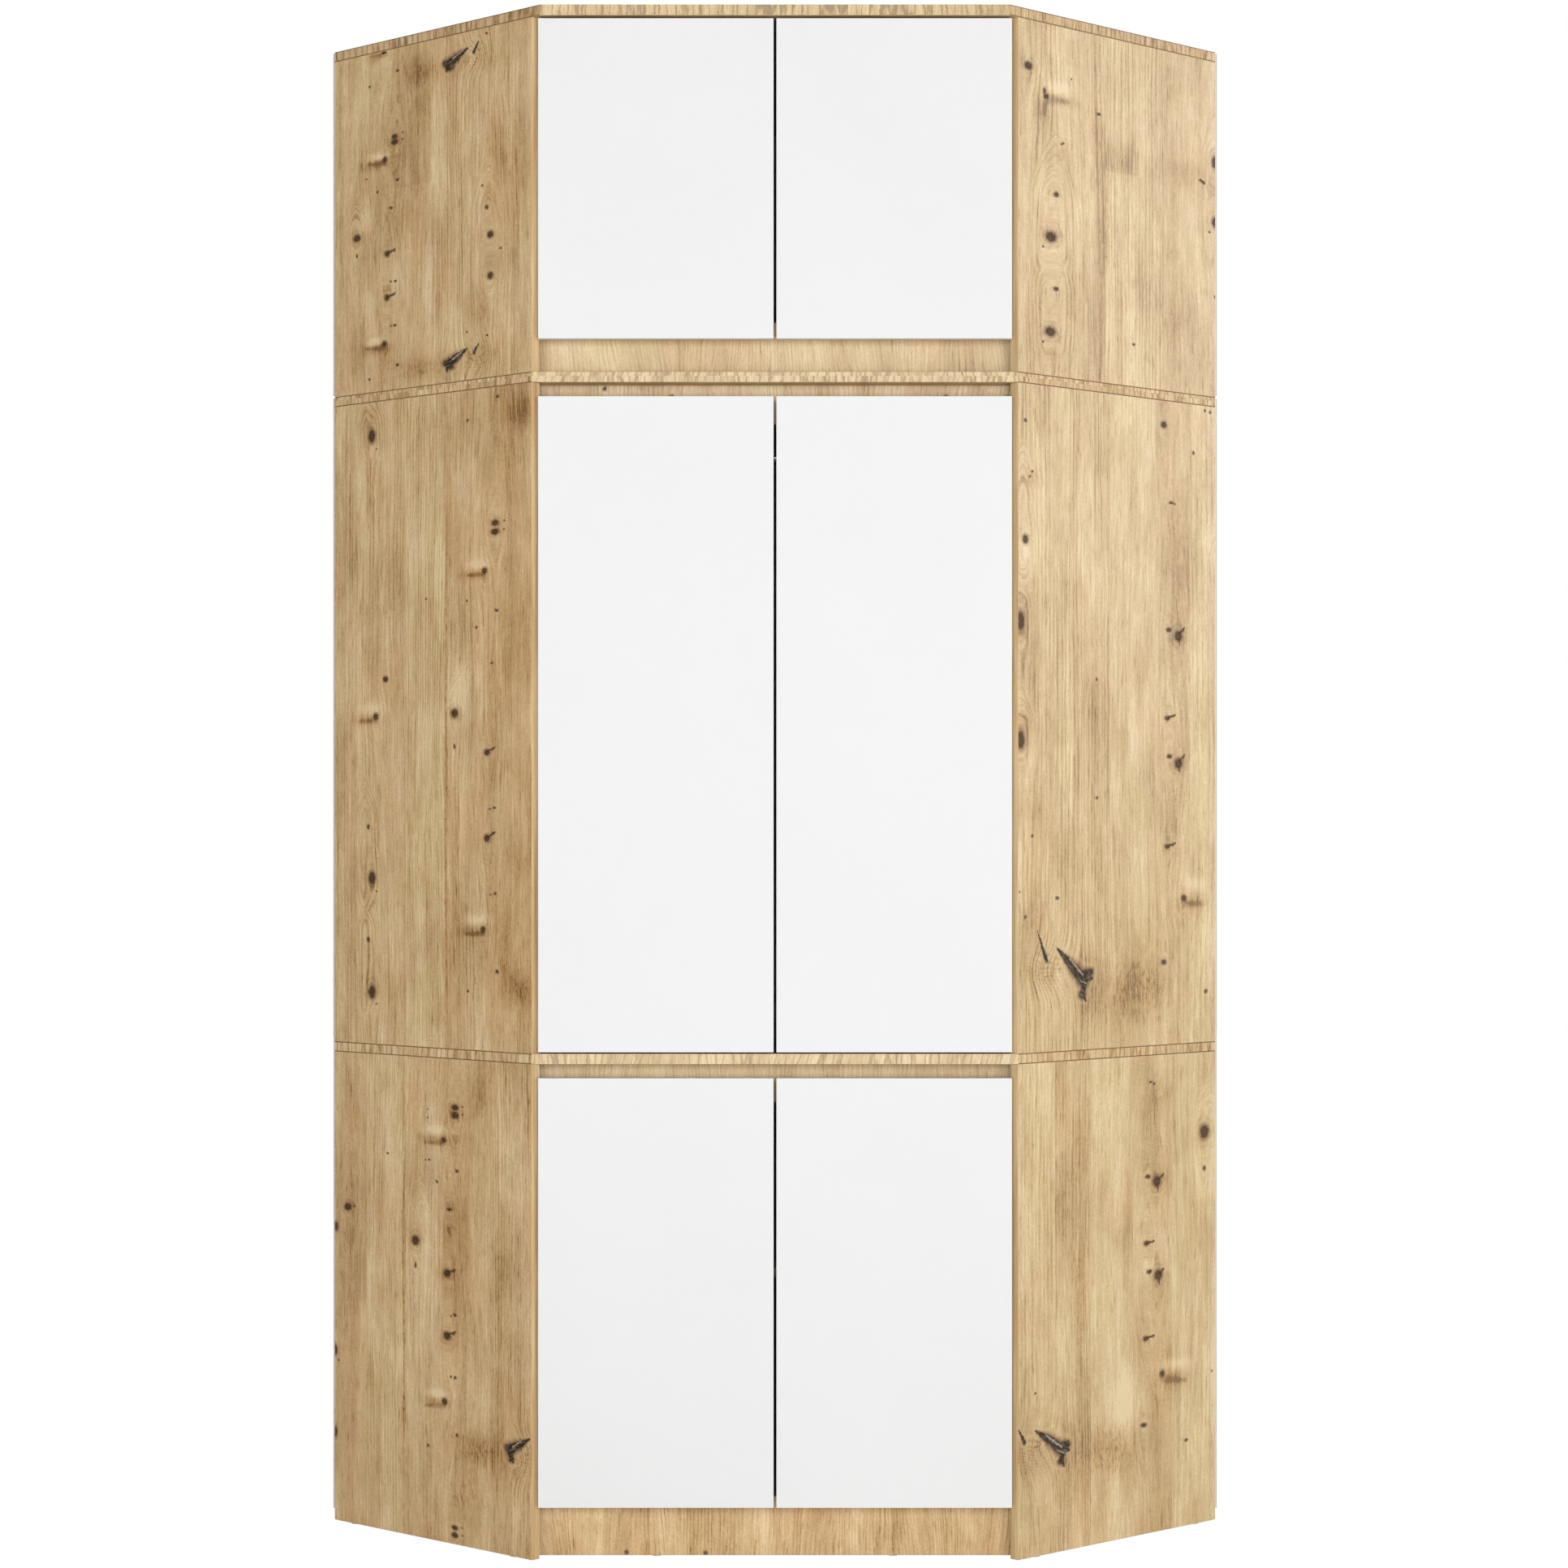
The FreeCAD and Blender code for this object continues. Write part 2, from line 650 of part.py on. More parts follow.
def hinge_arm(panel, side, z):
    """The cabinet's half of a hinge: cranked arm, mounting plate and their screws."""
    plate_top = plate_wing_thickness + plate_block_height
    arm_top = plate_top + arm_height
    arm_middle = inner_face - plate_top - arm_height / 2.0
    neck_out = arm_middle - (door_outer_x - neck_inset) * ROOT2
    line = [
        door_xy(side, pin_inset, -pin_depth),
        door_xy(side, neck_inset, -pin_depth),
        wall_xy(side, arm_middle, neck_out),
        wall_xy(side, arm_middle, side_depth - arm_lead),
    ]
    neck = strip(line, neck_thickness, z - neck_half_height, z + neck_half_height)
    eye_base = door_point(side, pin_inset, -pin_depth, z - neck_half_height)
    eye = Part.makeCylinder(eye_radius, neck_half_height * 2, eye_base)
    body_outline = [
        wall_xy(side, inner_face - plate_top, side_depth - arm_reach),
        wall_xy(side, inner_face - plate_top, side_depth + arm_lead),
        wall_xy(side, inner_face - arm_top, side_depth + arm_lead),
        wall_xy(side, inner_face - arm_top, side_depth - arm_reach),
    ]
    body = prism(body_outline, z - arm_half_width, z + arm_half_width)
    upright = [e for e in body.Edges if abs(e.tangentAt(e.FirstParameter).z) > 0.9]
    body = body.makeFillet(arm_corner_radius, upright)
    arm = neck.fuse([eye, body])
    arm = arm.cut(Part.makeCylinder(pin_radius + pin_clearance, neck_half_height * 2, eye_base))

    way = outward(side)
    wing_front = side_depth - plate_screw_setback + plate_wing_half_width
    wing_rear = side_depth - plate_screw_setback - plate_wing_half_width
    wing_face = inner_face - plate_wing_thickness
    wing_outline = [
        wall_xy(side, inner_face, wing_front),
        wall_xy(side, inner_face, wing_rear),
        wall_xy(side, wing_face, wing_rear),
        wall_xy(side, wing_face, wing_front),
    ]
    wing = prism(wing_outline, z - plate_wing_half_length, z + plate_wing_half_length)
    block_rear = side_depth - arm_reach + plate_block_inset
    block_front = block_rear + plate_block_length
    block_outline = [
        wall_xy(side, inner_face, block_rear),
        wall_xy(side, inner_face, block_front),
        wall_xy(side, inner_face - plate_top, block_front),
        wall_xy(side, inner_face - plate_top, block_rear),
    ]
    block = prism(block_outline, z - plate_block_half_width, z + plate_block_half_width)
    plate = wing.fuse(block)

    arm_seat = wall_point(side, inner_face - arm_top, side_depth - arm_screw_setback, z)
    arm_screw_length = arm_height + plate_block_height
    clear_radius = arm_screw_radius + screw_clearance
    channel = Part.makeCylinder(clear_radius, arm_screw_length + screw_clearance, arm_seat, way)
    add("hinge_arms", arm.cut(channel).removeSplitter())
    headed_screw(
        "hinge_arm_screws",
        arm_screw_radius,
        arm_screw_length,
        arm_screw_head_radius,
        arm_seat,
        way,
    )
    plate = plate.cut(channel)
    for offset in (-plate_screw_offset, plate_screw_offset):
        height = z + offset
        seat = wall_point(side, wing_face, side_depth - plate_screw_setback, height)
        clear_radius = plate_screw_radius + screw_clearance
        plate = plate.cut(Part.makeCylinder(clear_radius, plate_wing_thickness, seat, way))
        drill(panel, clear_radius, seat, way, plate_screw_length + screw_clearance)
        headed_screw(
            "hinge_plate_screws",
            plate_screw_radius,
            plate_screw_length,
            plate_screw_head_radius,
            seat,
            way,
        )
    add("hinge_plates", plate.removeSplitter())


def doors():
    """Three pairs of doors with their hinges."""
    for row, (bottom, top, margin, count) in door_rows.items():
        step = (top - bottom - margin * 2.0) / (count - 1)
        for name, side in sides.items():
            stem = row + "_" + name
            door = row + "_door_" + name
            outline = [
                door_xy(side, 0.0, -door_thickness),
                door_xy(side, door_width, -door_thickness),
                door_xy(side, door_width, 0.0),
                door_xy(side, 0.0, 0.0),
            ]
            add(door, prism(outline, bottom, top, door_edge_radius))
            for number in range(count):
                z = bottom + margin + step * number
                hinge_cup(stem, door, side, z)
                hinge_arm(row + "_side_" + name, side, z)


def write_pieces():
    """Cuts the noted holes and writes one file for each node."""
    os.makedirs("parts", exist_ok=True)
    for node, solids in sorted(pieces.items()):
        if node in holes:
            solids = [solid.cut(holes[node]) for solid in solids]
        bodies = [body for solid in solids for body in solid.Solids]
        shape = bodies[0] if len(bodies) == 1 else Part.makeCompound(bodies)
        shape.exportStep(os.path.join("parts", node + ".step"))
        print(f"{node}: {len(bodies)} solids, {shape.Volume / 1000.0:.1f} cm3, valid {shape.isValid()}")


carcass_boards()
side_panels()
cross_boards()
corner_posts()
backs()
lower_shelf()
clothes_rail()
glides()
carcass_joints()
doors()
write_pieces()
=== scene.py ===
"""Corner wardrobe with a diagonal front: finishes, floor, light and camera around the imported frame.

All lengths are metres in the frame's own axes: X to the right, Y away from the camera, Z up.
"""
import functools
import json
import math
import operator
import bpy
import numpy as np
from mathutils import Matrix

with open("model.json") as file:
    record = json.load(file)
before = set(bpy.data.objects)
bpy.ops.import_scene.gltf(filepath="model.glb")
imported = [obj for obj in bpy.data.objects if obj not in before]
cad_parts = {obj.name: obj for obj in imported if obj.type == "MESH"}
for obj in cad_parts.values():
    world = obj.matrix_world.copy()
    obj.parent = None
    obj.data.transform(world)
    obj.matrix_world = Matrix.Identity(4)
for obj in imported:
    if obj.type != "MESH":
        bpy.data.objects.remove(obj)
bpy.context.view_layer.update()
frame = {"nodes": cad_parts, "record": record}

# Sizes that the finishes share with the part's source.
ROOT_TWO = math.sqrt(2.0)
WALL_LENGTH = 1.0
SIDE_DEPTH = 0.48
BOARD = 0.016
CROWN_OVERHANG = 0.013
WHOLE_DEPTH = (WALL_LENGTH + SIDE_DEPTH) / ROOT_TWO + CROWN_OVERHANG
FRONT_HALF = (WALL_LENGTH - SIDE_DEPTH) / ROOT_TWO
FRONT_LINE_Y = CROWN_OVERHANG - WHOLE_DEPTH / 2.0
LEFT = -1.0
RIGHT = 1.0
LOWER_PANEL = (0.0015, 0.751)
MIDDLE_PANEL = (0.767, 1.782)
UPPER_PANEL = (1.798, 2.334)

# The photograph: where the eye stands, and how its pixels measure the front line.
PHOTO_WIDTH = 1932
EYE_DISTANCE = 5.689
EYE_HEIGHT = 1.106
METRE_PER_PIXEL = 0.0012265
MIDDLE_COLUMN = 954.9
EYE_ROW = 1022.0
LEFT_FRONT_COLUMN = 655.0  # where the left side panels end at the front
SENSOR = 36.0
FULL_TURN = 2.0 * math.pi


def on_side_panel(column, row):
    """Where a pixel of the photograph falls on the outer face of a side panel.

    The panel runs back from the front line at 45 degrees. A ray that leaves the eye at a sideways
    distance a on the front line meets the panel at depth (a - front half) / (1 - a / eye distance).
    Returns the way back from the panel's front edge along its face, and the height.
    """
    sideways = abs(column - MIDDLE_COLUMN) * METRE_PER_PIXEL
    depth = (sideways - FRONT_HALF) / (1.0 - sideways / EYE_DISTANCE)
    spread = 1.0 + depth / EYE_DISTANCE
    height = EYE_HEIGHT - (row - EYE_ROW) * METRE_PER_PIXEL * spread
    return depth * ROOT_TWO, height


def size_on_side_panel(column, wide, high):
    """What a small size in pixels of the photograph measures along and up a side panel."""
    edge = on_side_panel(column, EYE_ROW)[0]
    other = on_side_panel(column + wide, EYE_ROW)[0]
    top = on_side_panel(column, EYE_ROW - high)[1] - EYE_HEIGHT
    return abs(other - edge), top


class Value:
    """A number or a vector that changes over a surface: one socket. Operators add Math nodes."""

    def __init__(self, nodes, socket):
        self.nodes = nodes
        self.socket = socket

    def __add__(self, other):
        return self.nodes.maths("ADD", self, other)

    __radd__ = __add__

    def __sub__(self, other):
        return self.nodes.maths("SUBTRACT", self, other)

    def __rsub__(self, other):
        return self.nodes.maths("SUBTRACT", other, self)

    def __mul__(self, other):
        return self.nodes.maths("MULTIPLY", self, other)

    __rmul__ = __mul__

    def __truediv__(self, other):
        return self.nodes.maths("DIVIDE", self, other)

    def __rtruediv__(self, other):
        return self.nodes.maths("DIVIDE", other, self)

    def __pow__(self, other):
        return self.nodes.maths("POWER", self, other)

    def __neg__(self):
        return self.nodes.maths("MULTIPLY", self, -1.0)

    def __abs__(self):
        return self.nodes.maths("ABSOLUTE", self)


class Nodes:
    """A node tree, with a method that adds any node and shorter ones for the nodes used most."""

    def __init__(self, tree, end):
        self.tree = tree
        tree.nodes.clear()
        self.end = tree.nodes.new(end)

    def show(self, shader):
        """Joins a shader to the end of the tree."""
        self.tree.links.new(shader.socket, self.end.inputs["Surface"])

    def add(self, kind, settings=None, inputs=None, output=0):
        """Adds a node, sets its settings first, then fills or links its sockets."""
        node = self.tree.nodes.new(kind)
        for key, value in (settings or {}).items():
            if key == "stops":
                self.fill_ramp(node.color_ramp, value)
            else:
                setattr(node, key, value)
        for key, value in (inputs or {}).items():
            if isinstance(value, Value):
                self.tree.links.new(value.socket, node.inputs[key])
            else:
                node.inputs[key].default_value = value
        return Value(self, node.outputs[output])

    @staticmethod
    def fill_ramp(ramp, stops):
        ramp.elements.remove(ramp.elements[-1])
        ramp.elements[0].position = stops[0][0]
        ramp.elements[0].color = (*stops[0][1], 1.0)
        for place, colour in stops[1:]:
            ramp.elements.new(place).color = (*colour, 1.0)

    def maths(self, operation, *values):
        return self.add("ShaderNodeMath", {"operation": operation}, dict(enumerate(values)))

    def vector(self, operation, *values):
        output = 1 if operation in ("LENGTH", "DOT_PRODUCT", "DISTANCE") else 0
        return self.add("ShaderNodeVectorMath", {"operation": operation}, dict(enumerate(values)), output)

    def least(self, *values):
        return functools.reduce(functools.partial(self.maths, "MINIMUM"), values)

    def most(self, first, second):
        return self.maths("MAXIMUM", first, second)

    def clamp(self, value):
        return self.add("ShaderNodeClamp", {}, {"Value": value})

    def smooth(self, value, low, high):
        """0 below low, 1 above high, and a smooth step between; low may be the larger one."""
        return self.add(
            "ShaderNodeMapRange",
            {"interpolation_type": "SMOOTHSTEP"},
            {"Value": value, "From Min": low, "From Max": high},
        )

    def hill(self, value):
        """A bell: e to the minus square of value."""
        return self.maths("EXPONENT", -(value * value))

    def blend(self, factor, first, second):
        """Goes from the first number to the second as the factor goes from 0 to 1."""
        return self.add("ShaderNodeMix", {"data_type": "FLOAT"}, {0: factor, 2: first, 3: second})

    def tint(self, factor, first, second, mode="MIX"):
        """Mixes two colours."""
        settings = {"data_type": "RGBA", "blend_type": mode}
        colours = {}
        for key, colour in ((6, first), (7, second)):
            colours[key] = colour if isinstance(colour, Value) else (*colour, 1.0)
        return self.add("ShaderNodeMix", settings, {0: factor, **colours}, 2)

    def place(self, x, y, z=0.0):
        return self.add("ShaderNodeCombineXYZ", {}, {0: x, 1: y, 2: z})

    def noise(self, point, scale, offset=(0.0, 0.0, 0.0), detail=2.0, roughness=0.5):
        """Cloudy noise about 0, from about -0.35 to 0.35, with its own scale along each axis."""
        stretched = self.vector("MULTIPLY_ADD", point, scale, offset)
        cloud = self.add(
            "ShaderNodeTexNoise",
            {"noise_dimensions": "3D"},
            {"Vector": stretched, "Scale": 1.0, "Detail": detail, "Roughness": roughness},
        )
        return cloud - 0.5

    def cells(self, point, feature, output, scale=1.0):
        """Uneven cells: the way to the middle of each, or to its edge, or its own colour."""
        inputs = {"Vector": point, "Scale": scale}
        return self.add("ShaderNodeTexVoronoi", {"feature": feature}, inputs, output)

    def coordinates(self):
        """The point on the object, and which way the surface faces, both in the frame's axes."""
        outputs = self.add("ShaderNodeTexCoord").socket.node.outputs
        return Value(self, outputs["Object"]), Value(self, outputs["Normal"])

    def parts_of(self, vector):
        node = self.add("ShaderNodeSeparateXYZ", {}, {0: vector}).socket.node
        return [Value(self, socket) for socket in node.outputs]

    def bump(self, height, strength, distance):
        inputs = {"Height": height, "Strength": strength, "Distance": distance}
        return self.add("ShaderNodeBump", {}, inputs)


class Finish(Nodes):
    """One material."""

    def __init__(self, name):
        self.material = bpy.data.materials.new(name)
        self.material.use_nodes = True
        super().__init__(self.material.node_tree, "ShaderNodeOutputMaterial")

    def surface(self, **sockets):
        """The Principled shader with these sockets, joined to the end."""
        inputs = {key.replace("_", " ").title().replace("Ior", "IOR"): sockets[key] for key in sockets}
        self.show(self.add("ShaderNodeBsdfPrincipled", {}, inputs))
        return self.material


# Small dark knots on the rails: how far right of the middle, and how high.
RAIL_KNOTS = ((-0.258, 1.7765), (-0.167, 1.7640), (0.258, 1.7640), (-0.223, 0.0060), (-0.105, 0.0050))
RAIL_KNOT_SIZE = (0.0030, 0.0036)

# Oak decor. Tone 0 is the darkest line of the grain and 1 the palest wood between two lines.
OAK_TONES = (
    (0.00, (0.205, 0.108, 0.034)),
    (0.22, (0.380, 0.229, 0.091)),
    (0.42, (0.490, 0.319, 0.147)),
    (0.60, (0.575, 0.394, 0.201)),
    (0.80, (0.665, 0.488, 0.268)),
    (1.00, (0.760, 0.595, 0.360)),
)
# Colours of knots, cracks, seams and raw chipboard. What differs between the sides is given for each.
KNOT_DARK = {LEFT: (0.042, 0.017, 0.003), RIGHT: (0.050, 0.022, 0.008)}
GLOW_BROWN = (0.230, 0.105, 0.045)
KNOT_GREY = (0.085, 0.056, 0.036)
KNOT_BROWN = (0.160, 0.078, 0.034)
PALE_WOOD = (0.700, 0.540, 0.310)
EDGE_PALE = (0.660, 0.590, 0.400)
# Painted sheen: a pale tint mixed into the right side panels, standing in for the glossy veil that the
# light from the right lays on them.
PAINTED_SHEEN_TINT = (0.610, 0.680, 0.440)
PAINTED_SHEEN_SHARE = {LEFT: 0.0, RIGHT: 0.065}
REDDER = (1.000, 0.925, 0.870)
YELLOWER = (0.990, 1.010, 0.940)
CRACK_DARK = (0.018, 0.010, 0.005)
CRACK_GREY = (0.150, 0.120, 0.088)
SLIVER_GREY = (0.420, 0.350, 0.255)
SEAM_BROWN = (0.130, 0.068, 0.024)
CHIP_DARK = (0.210, 0.130, 0.065)
CHIP_PALE = (0.560, 0.420, 0.250)
CHIPS_PER_METRE = 420.0
GREY_WEIGHTS = (0.4, 0.35, 0.25)
PLAIN_SPECULAR = 0.26
OAK_SPECULAR = {LEFT: 0.18, RIGHT: 0.40}
OAK_ROUGHNESS = 0.42
RELIEF_STRENGTH = 0.20
RELIEF_DEPTH = 0.0005

# The grain's shapes, in metres: how far it wanders and wavers across, how far arches waver along,
# and how ragged knots and torn cracks are.
WANDER = 0.018
WAVER = 0.006
ARCH_WAVER = 0.030
RAGGED = 0.0065
TORN = 0.006
# What each kind of mark adds to the tone, or takes from it.
TONE_LIFT = 0.06
STREAK_SHARE = 0.72
STREAK_GAIN = 0.30
BROAD_SHARE = 0.85
CLOUD_SHARE = 1.10
FLECK_SHARE = 0.52
LINE_GAIN = 1.25
LINE_SHARE = 0.31
PORE_SHARE = 0.28
HALO_SHARE = 0.13
RING_SHARE = 0.15
# How fast the streaks' noise moves on to another slice with the way across.
SLICE = 20.0
# Parts of a knot or a crack: how far off, in multiples of its outline, each begins and is full.
HALO = (2.8, 1.0)
KNOT_RIM = (1.80, 0.80)
KNOT_BODY = (1.14, 0.68)
KNOT_HEART = (0.62, 0.10)
CRACK_GLOW = (2.8, 0.9)
CRACK_RIM = (1.75, 0.90)
CRACK_BODY = (1.20, 0.72)
SPLINTERS = (1.02, 0.70)
HOOK_GLOW = (4.6, 0.3)
SLIVER_BODY = (1.3, 0.5)
RING_MIDDLE = 2.1
# How a knot is filled, by the grey of its heart and the depth of its dark.
RINGED_FILL = (0.55, 0.92)
SPOT_FILL = (0.3, 0.88)
DOT_FILL = (0.2, 0.80)
RAIL_FILL = (0.2, 0.70)
# How strongly each layer of a crack's colour covers the one under it.
RING_PALE = 0.30
GLOW_SHARE = 0.34
RIM_SHARE = 0.60
CRACK_SHARE = 0.95
SPLINTER_SHARE = 0.75
# A face is an edge or an end where its direction passes from the first of these to the second.
TURNED = (0.60, 0.80)
# How far apart in the noise two staves, panels, rails or boards lie, so that no two look alike.
STAVE_LAYER = 3.1
PANEL_LAYER = 11.7
STRIP_LAYER = 3.3
RAIL_LAYER = 3.7
BOARD_LAYER = 2.9
DRIFT_SHARE = 0.75


class Oak:
    """The knotty oak decor of one board, worked out from metres across and along its grain."""

    def __init__(self, name):
        self.finish = Finish(name)
        self.point, self.normal = self.finish.coordinates()
        self.x, self.y, self.z = self.finish.parts_of(self.point)
        self.facing_x, self.facing_y, self.facing_z = self.finish.parts_of(self.normal)

    def lay(self, across, along, layer, side=LEFT):
        """Puts the grain's own axes on the face, and lets the grain wander slowly."""
        f = self.finish
        self.layer = layer
        self.dull = 0.0
        self.side = side
        self.plain = f.place(across, along, layer)
        wander = f.noise(self.plain, (5.0, 1.3, 1.0), detail=1.0) * WANDER
        waver = f.noise(self.plain, (22.0, 11.0, 1.0), (4.0, 2.0, 0.0), detail=2.0) * WAVER
        self.across = across + wander + waver
        self.along = along
        rags = f.noise(self.plain, (240.0, 170.0, 1.0), (8.0, 6.0, 0.0), detail=3.0, roughness=0.7)
        rags = rags * RAGGED
        self.rags = (across + rags, along + rags)
        self.ragged = f.place(across + rags, along + rags * 0.8, 0.0)

    def wavered_rise(self):
        """The way along, shaken as the arches of the eyes and the ribs of the swirls are."""
        waver = self.finish.noise(self.plain, (24.0, 16.0, 1.0), (9.0, 4.0, 0.0), detail=2.0)
        return self.along + waver * ARCH_WAVER

    def torn(self):
        """The ragged point shaken in larger steps, for the dark bodies of cracked knots."""
        f = self.finish
        torn = f.noise(self.plain, (95.0, 75.0, 1.0), (1.0, 6.0, 0.0), detail=2.0)
        torn_along = f.noise(self.plain, (95.0, 75.0, 1.0), (7.0, 2.0, 4.0), detail=2.0)
        return f.place(self.rags[0] + torn * TORN, self.rags[1] + torn_along * TORN, 0.0)

    def part_round(self, knots):
        """Lets the grain part round each knot, as water parts round a post.

        Each knot takes r squared d / (d squared + e squared h squared + r squared) from the way
        across, where d and h are the distances across and along, r its reach and e how much longer
        than wide the parting is.
        """
        f = self.finish
        flow = f.place(self.across, self.along, 0.0)
        parted = self.across
        for across, along, reach, slim in knots:
            away = f.vector("MULTIPLY_ADD", flow, (1.0, slim, 0.0), (-across, -along * slim, 0.0))
            square = f.vector("DOT_PRODUCT", away, away) + reach * reach
            sideways = f.vector("DOT_PRODUCT", away, (1.0, 0.0, 0.0))
            parted = parted - sideways * (reach * reach) / square
        self.across = parted

    def strokes(self, ring_place, rings):
        """Fine streaks, dark ring lines and open pores laid along one way out from the heart."""
        f = self.finish
        point = f.place(ring_place, self.along, self.across * SLICE + self.layer)
        streak = f.noise(point, (280.0, 19.0, 1.0), detail=3.0, roughness=0.85)
        pore = f.noise(point, (420.0, 34.0, 1.0), (5.0, 1.0, 0.0), detail=1.0)
        vary = f.noise(point, (34.0, 4.0, 1.0), (1.0, 5.0, 0.0), detail=2.0)
        uneven = f.noise(point, (90.0, 2.0, 0.3), (2.0, 7.0, 0.0), detail=1.0)
        line = (f.maths("SINE", (rings + uneven * 1.6) * FULL_TURN) * 0.5 + 0.5) ** 3.0
        return streak, line * f.smooth(vary, -0.24, 0.14), f.smooth(pore, 0.08, 0.24)

    def grow(self, ring_place, rings, strength, tone, eye=None):
        """Tone and relief of plain grain.

        ring_place is the way out from the heart of the tree, and rings counts the growth rings on it.
        An eye has its own way out and count, and a mask that is 1 inside it.
        """
        f = self.finish
        streak, line, pores = self.strokes(ring_place, rings)
        if eye is not None:
            inner = self.strokes(eye[0], eye[1])
            streak, line, pores = (f.blend(eye[2], *pair) for pair in zip((streak, line, pores), inner))
        line = line * strength * strength * LINE_GAIN
        open_point = f.place(self.across, self.along, self.layer)
        cloud = f.noise(open_point, (10.0, 5.0, 1.0), (3.0, 9.0, 0.0), detail=4.0, roughness=0.65)
        broad_point = f.place(ring_place, self.along, self.across * SLICE + self.layer)
        broad = f.noise(broad_point, (38.0, 3.0, 1.0), (7.0, 3.0, 0.0), detail=3.0, roughness=0.7)
        fleck = f.noise(open_point, (320.0, 240.0, 1.0), (2.0, 6.0, 0.0), detail=2.0, roughness=0.7)
        plain = streak * (strength * STREAK_GAIN + STREAK_SHARE) + broad * BROAD_SHARE
        plain = plain + cloud * CLOUD_SHARE + fleck * FLECK_SHARE
        self.tone = plain + tone + TONE_LIFT - line * LINE_SHARE - pores * PORE_SHARE
        self.relief = streak * 0.6 - line * 0.3 - pores * 0.6 + 0.6

    def from_oval(self, point, across, along, half_wide, half_high):
        """The way from an oval's middle, measured in its own half sizes."""
        scale = (1.0 / half_wide, 1.0 / half_high, 0.0)
        offset = (-across / half_wide, -along / half_high, 0.0)
        return self.finish.vector("MULTIPLY_ADD", point, scale, offset)

    def nearness(self, knots, point=None):
        """Distance to the nearest knot, where 1 is its outline."""
        f = self.finish
        ways = [self.from_oval(point or self.ragged, *knot) for knot in knots]
        return f.least(*[f.vector("LENGTH", way) for way in ways])

    def line_nearness(self, lines, *others):
        """The same for tapering lines, from the wide end to the fine end, and for nearnesses given."""
        f = self.finish
        reaches = list(others)
        for start, end, wide, fine in lines:
            run = (end[0] - start[0], end[1] - start[1], 0.0)
            square = run[0] ** 2 + run[1] ** 2
            away = f.vector("SUBTRACT", self.ragged, (start[0], start[1], 0.0))
            share = f.clamp(f.vector("DOT_PRODUCT", away, run) / square)
            on_line = f.vector("MULTIPLY", f.place(share, share, 0.0), run)
            reaches.append(f.vector("DISTANCE", away, on_line) / (share * (fine - wide) + wide))
        return f.least(*reaches)

    def soft_spots(self, spots):
        """Adds up soft oval spots: (across, along, half width, half height, strength)."""
        f = self.finish
        hills = []
        for *oval, strength in spots:
            away = self.from_oval(self.ragged, *oval)
            hills.append(f.maths("EXPONENT", f.vector("DOT_PRODUCT", away, away) * -1.0) * strength)
        return functools.reduce(operator.add, hills)

    def colour(self):
        return self.finish.add("ShaderNodeValToRGB", {"stops": OAK_TONES}, {"Fac": self.tone})

    def ring_knots(self, nearest, on_face):
        """Darker wood round large knots, with parts of thin rings in it."""
        f = self.finish
        gaps = f.noise(self.ragged, (70.0, 50.0, 1.0), (3.0, 3.0, 0.0), detail=1.0)
        halo = f.smooth(nearest, *HALO) * on_face
        ring = f.hill((nearest - RING_MIDDLE) * 4.0) * f.smooth(gaps, -0.16, 0.10)
        self.tone = self.tone - halo * HALO_SHARE - ring * on_face * RING_SHARE

    def fill_knots(self, colour, nearest, on_face, grey, depth):
        """Brown rim, dark ragged body and a greyer crumbled heart."""
        f = self.finish
        crumbs = f.noise(self.point, (800.0, 800.0, 800.0), detail=2.0, roughness=0.7)
        pits = f.noise(self.point, (430.0, 430.0, 330.0), (3.0, 1.0, 7.0), detail=2.0, roughness=0.7)
        nearest = nearest + pits * 0.50
        rim = f.smooth(nearest, *KNOT_RIM) * on_face
        body = f.smooth(nearest, *KNOT_BODY) * on_face
        heart = f.smooth(nearest, *KNOT_HEART) * f.smooth(crumbs, -0.15, 0.15) * on_face
        colour = f.tint(rim * (depth * 0.80), colour, KNOT_BROWN)
        dark = body * (1.0 - f.smooth(pits, -0.04, 0.22) * 0.36)
        colour = f.tint(dark * depth, colour, KNOT_DARK[self.side])
        self.relief = self.relief - body * 0.7
        self.dull = self.dull + body
        return f.tint(heart * grey, colour, KNOT_GREY)

    def fill_crack(self, colour, nearest, on_face, run):
        """Dark hollow of a cracked knot: red-brown edge, near-black body, grey splinters along it."""
        f = self.finish
        length = math.hypot(*run)
        along = f.vector("DOT_PRODUCT", self.ragged, (run[0] / length, run[1] / length, 0.0))
        aside = f.vector("DOT_PRODUCT", self.ragged, (-run[1] / length, run[0] / length, 0.0))
        splinters = f.noise(f.place(aside, along), (430.0, 60.0, 1.0), (6.0, 1.0, 0.0), detail=2.0)
        glow = f.smooth(nearest, *CRACK_GLOW) * on_face
        rim = f.smooth(nearest, *CRACK_RIM) * on_face
        body = f.smooth(nearest, *CRACK_BODY) * on_face
        splinter = f.smooth(nearest, *SPLINTERS) * f.smooth(splinters, 0.0, 0.10) * on_face
        pale = f.hill((nearest - RING_MIDDLE) * 2.2) * on_face
        colour = f.tint(pale * RING_PALE, colour, PALE_WOOD)
        colour = f.tint(glow * GLOW_SHARE, colour, GLOW_BROWN)
        colour = f.tint(rim * RIM_SHARE, colour, KNOT_BROWN)
        colour = f.tint(body * CRACK_SHARE, colour, CRACK_DARK)
        self.relief = self.relief - body * 0.9
        self.dull = self.dull + body
        return f.tint(splinter * SPLINTER_SHARE, colour, CRACK_GREY)

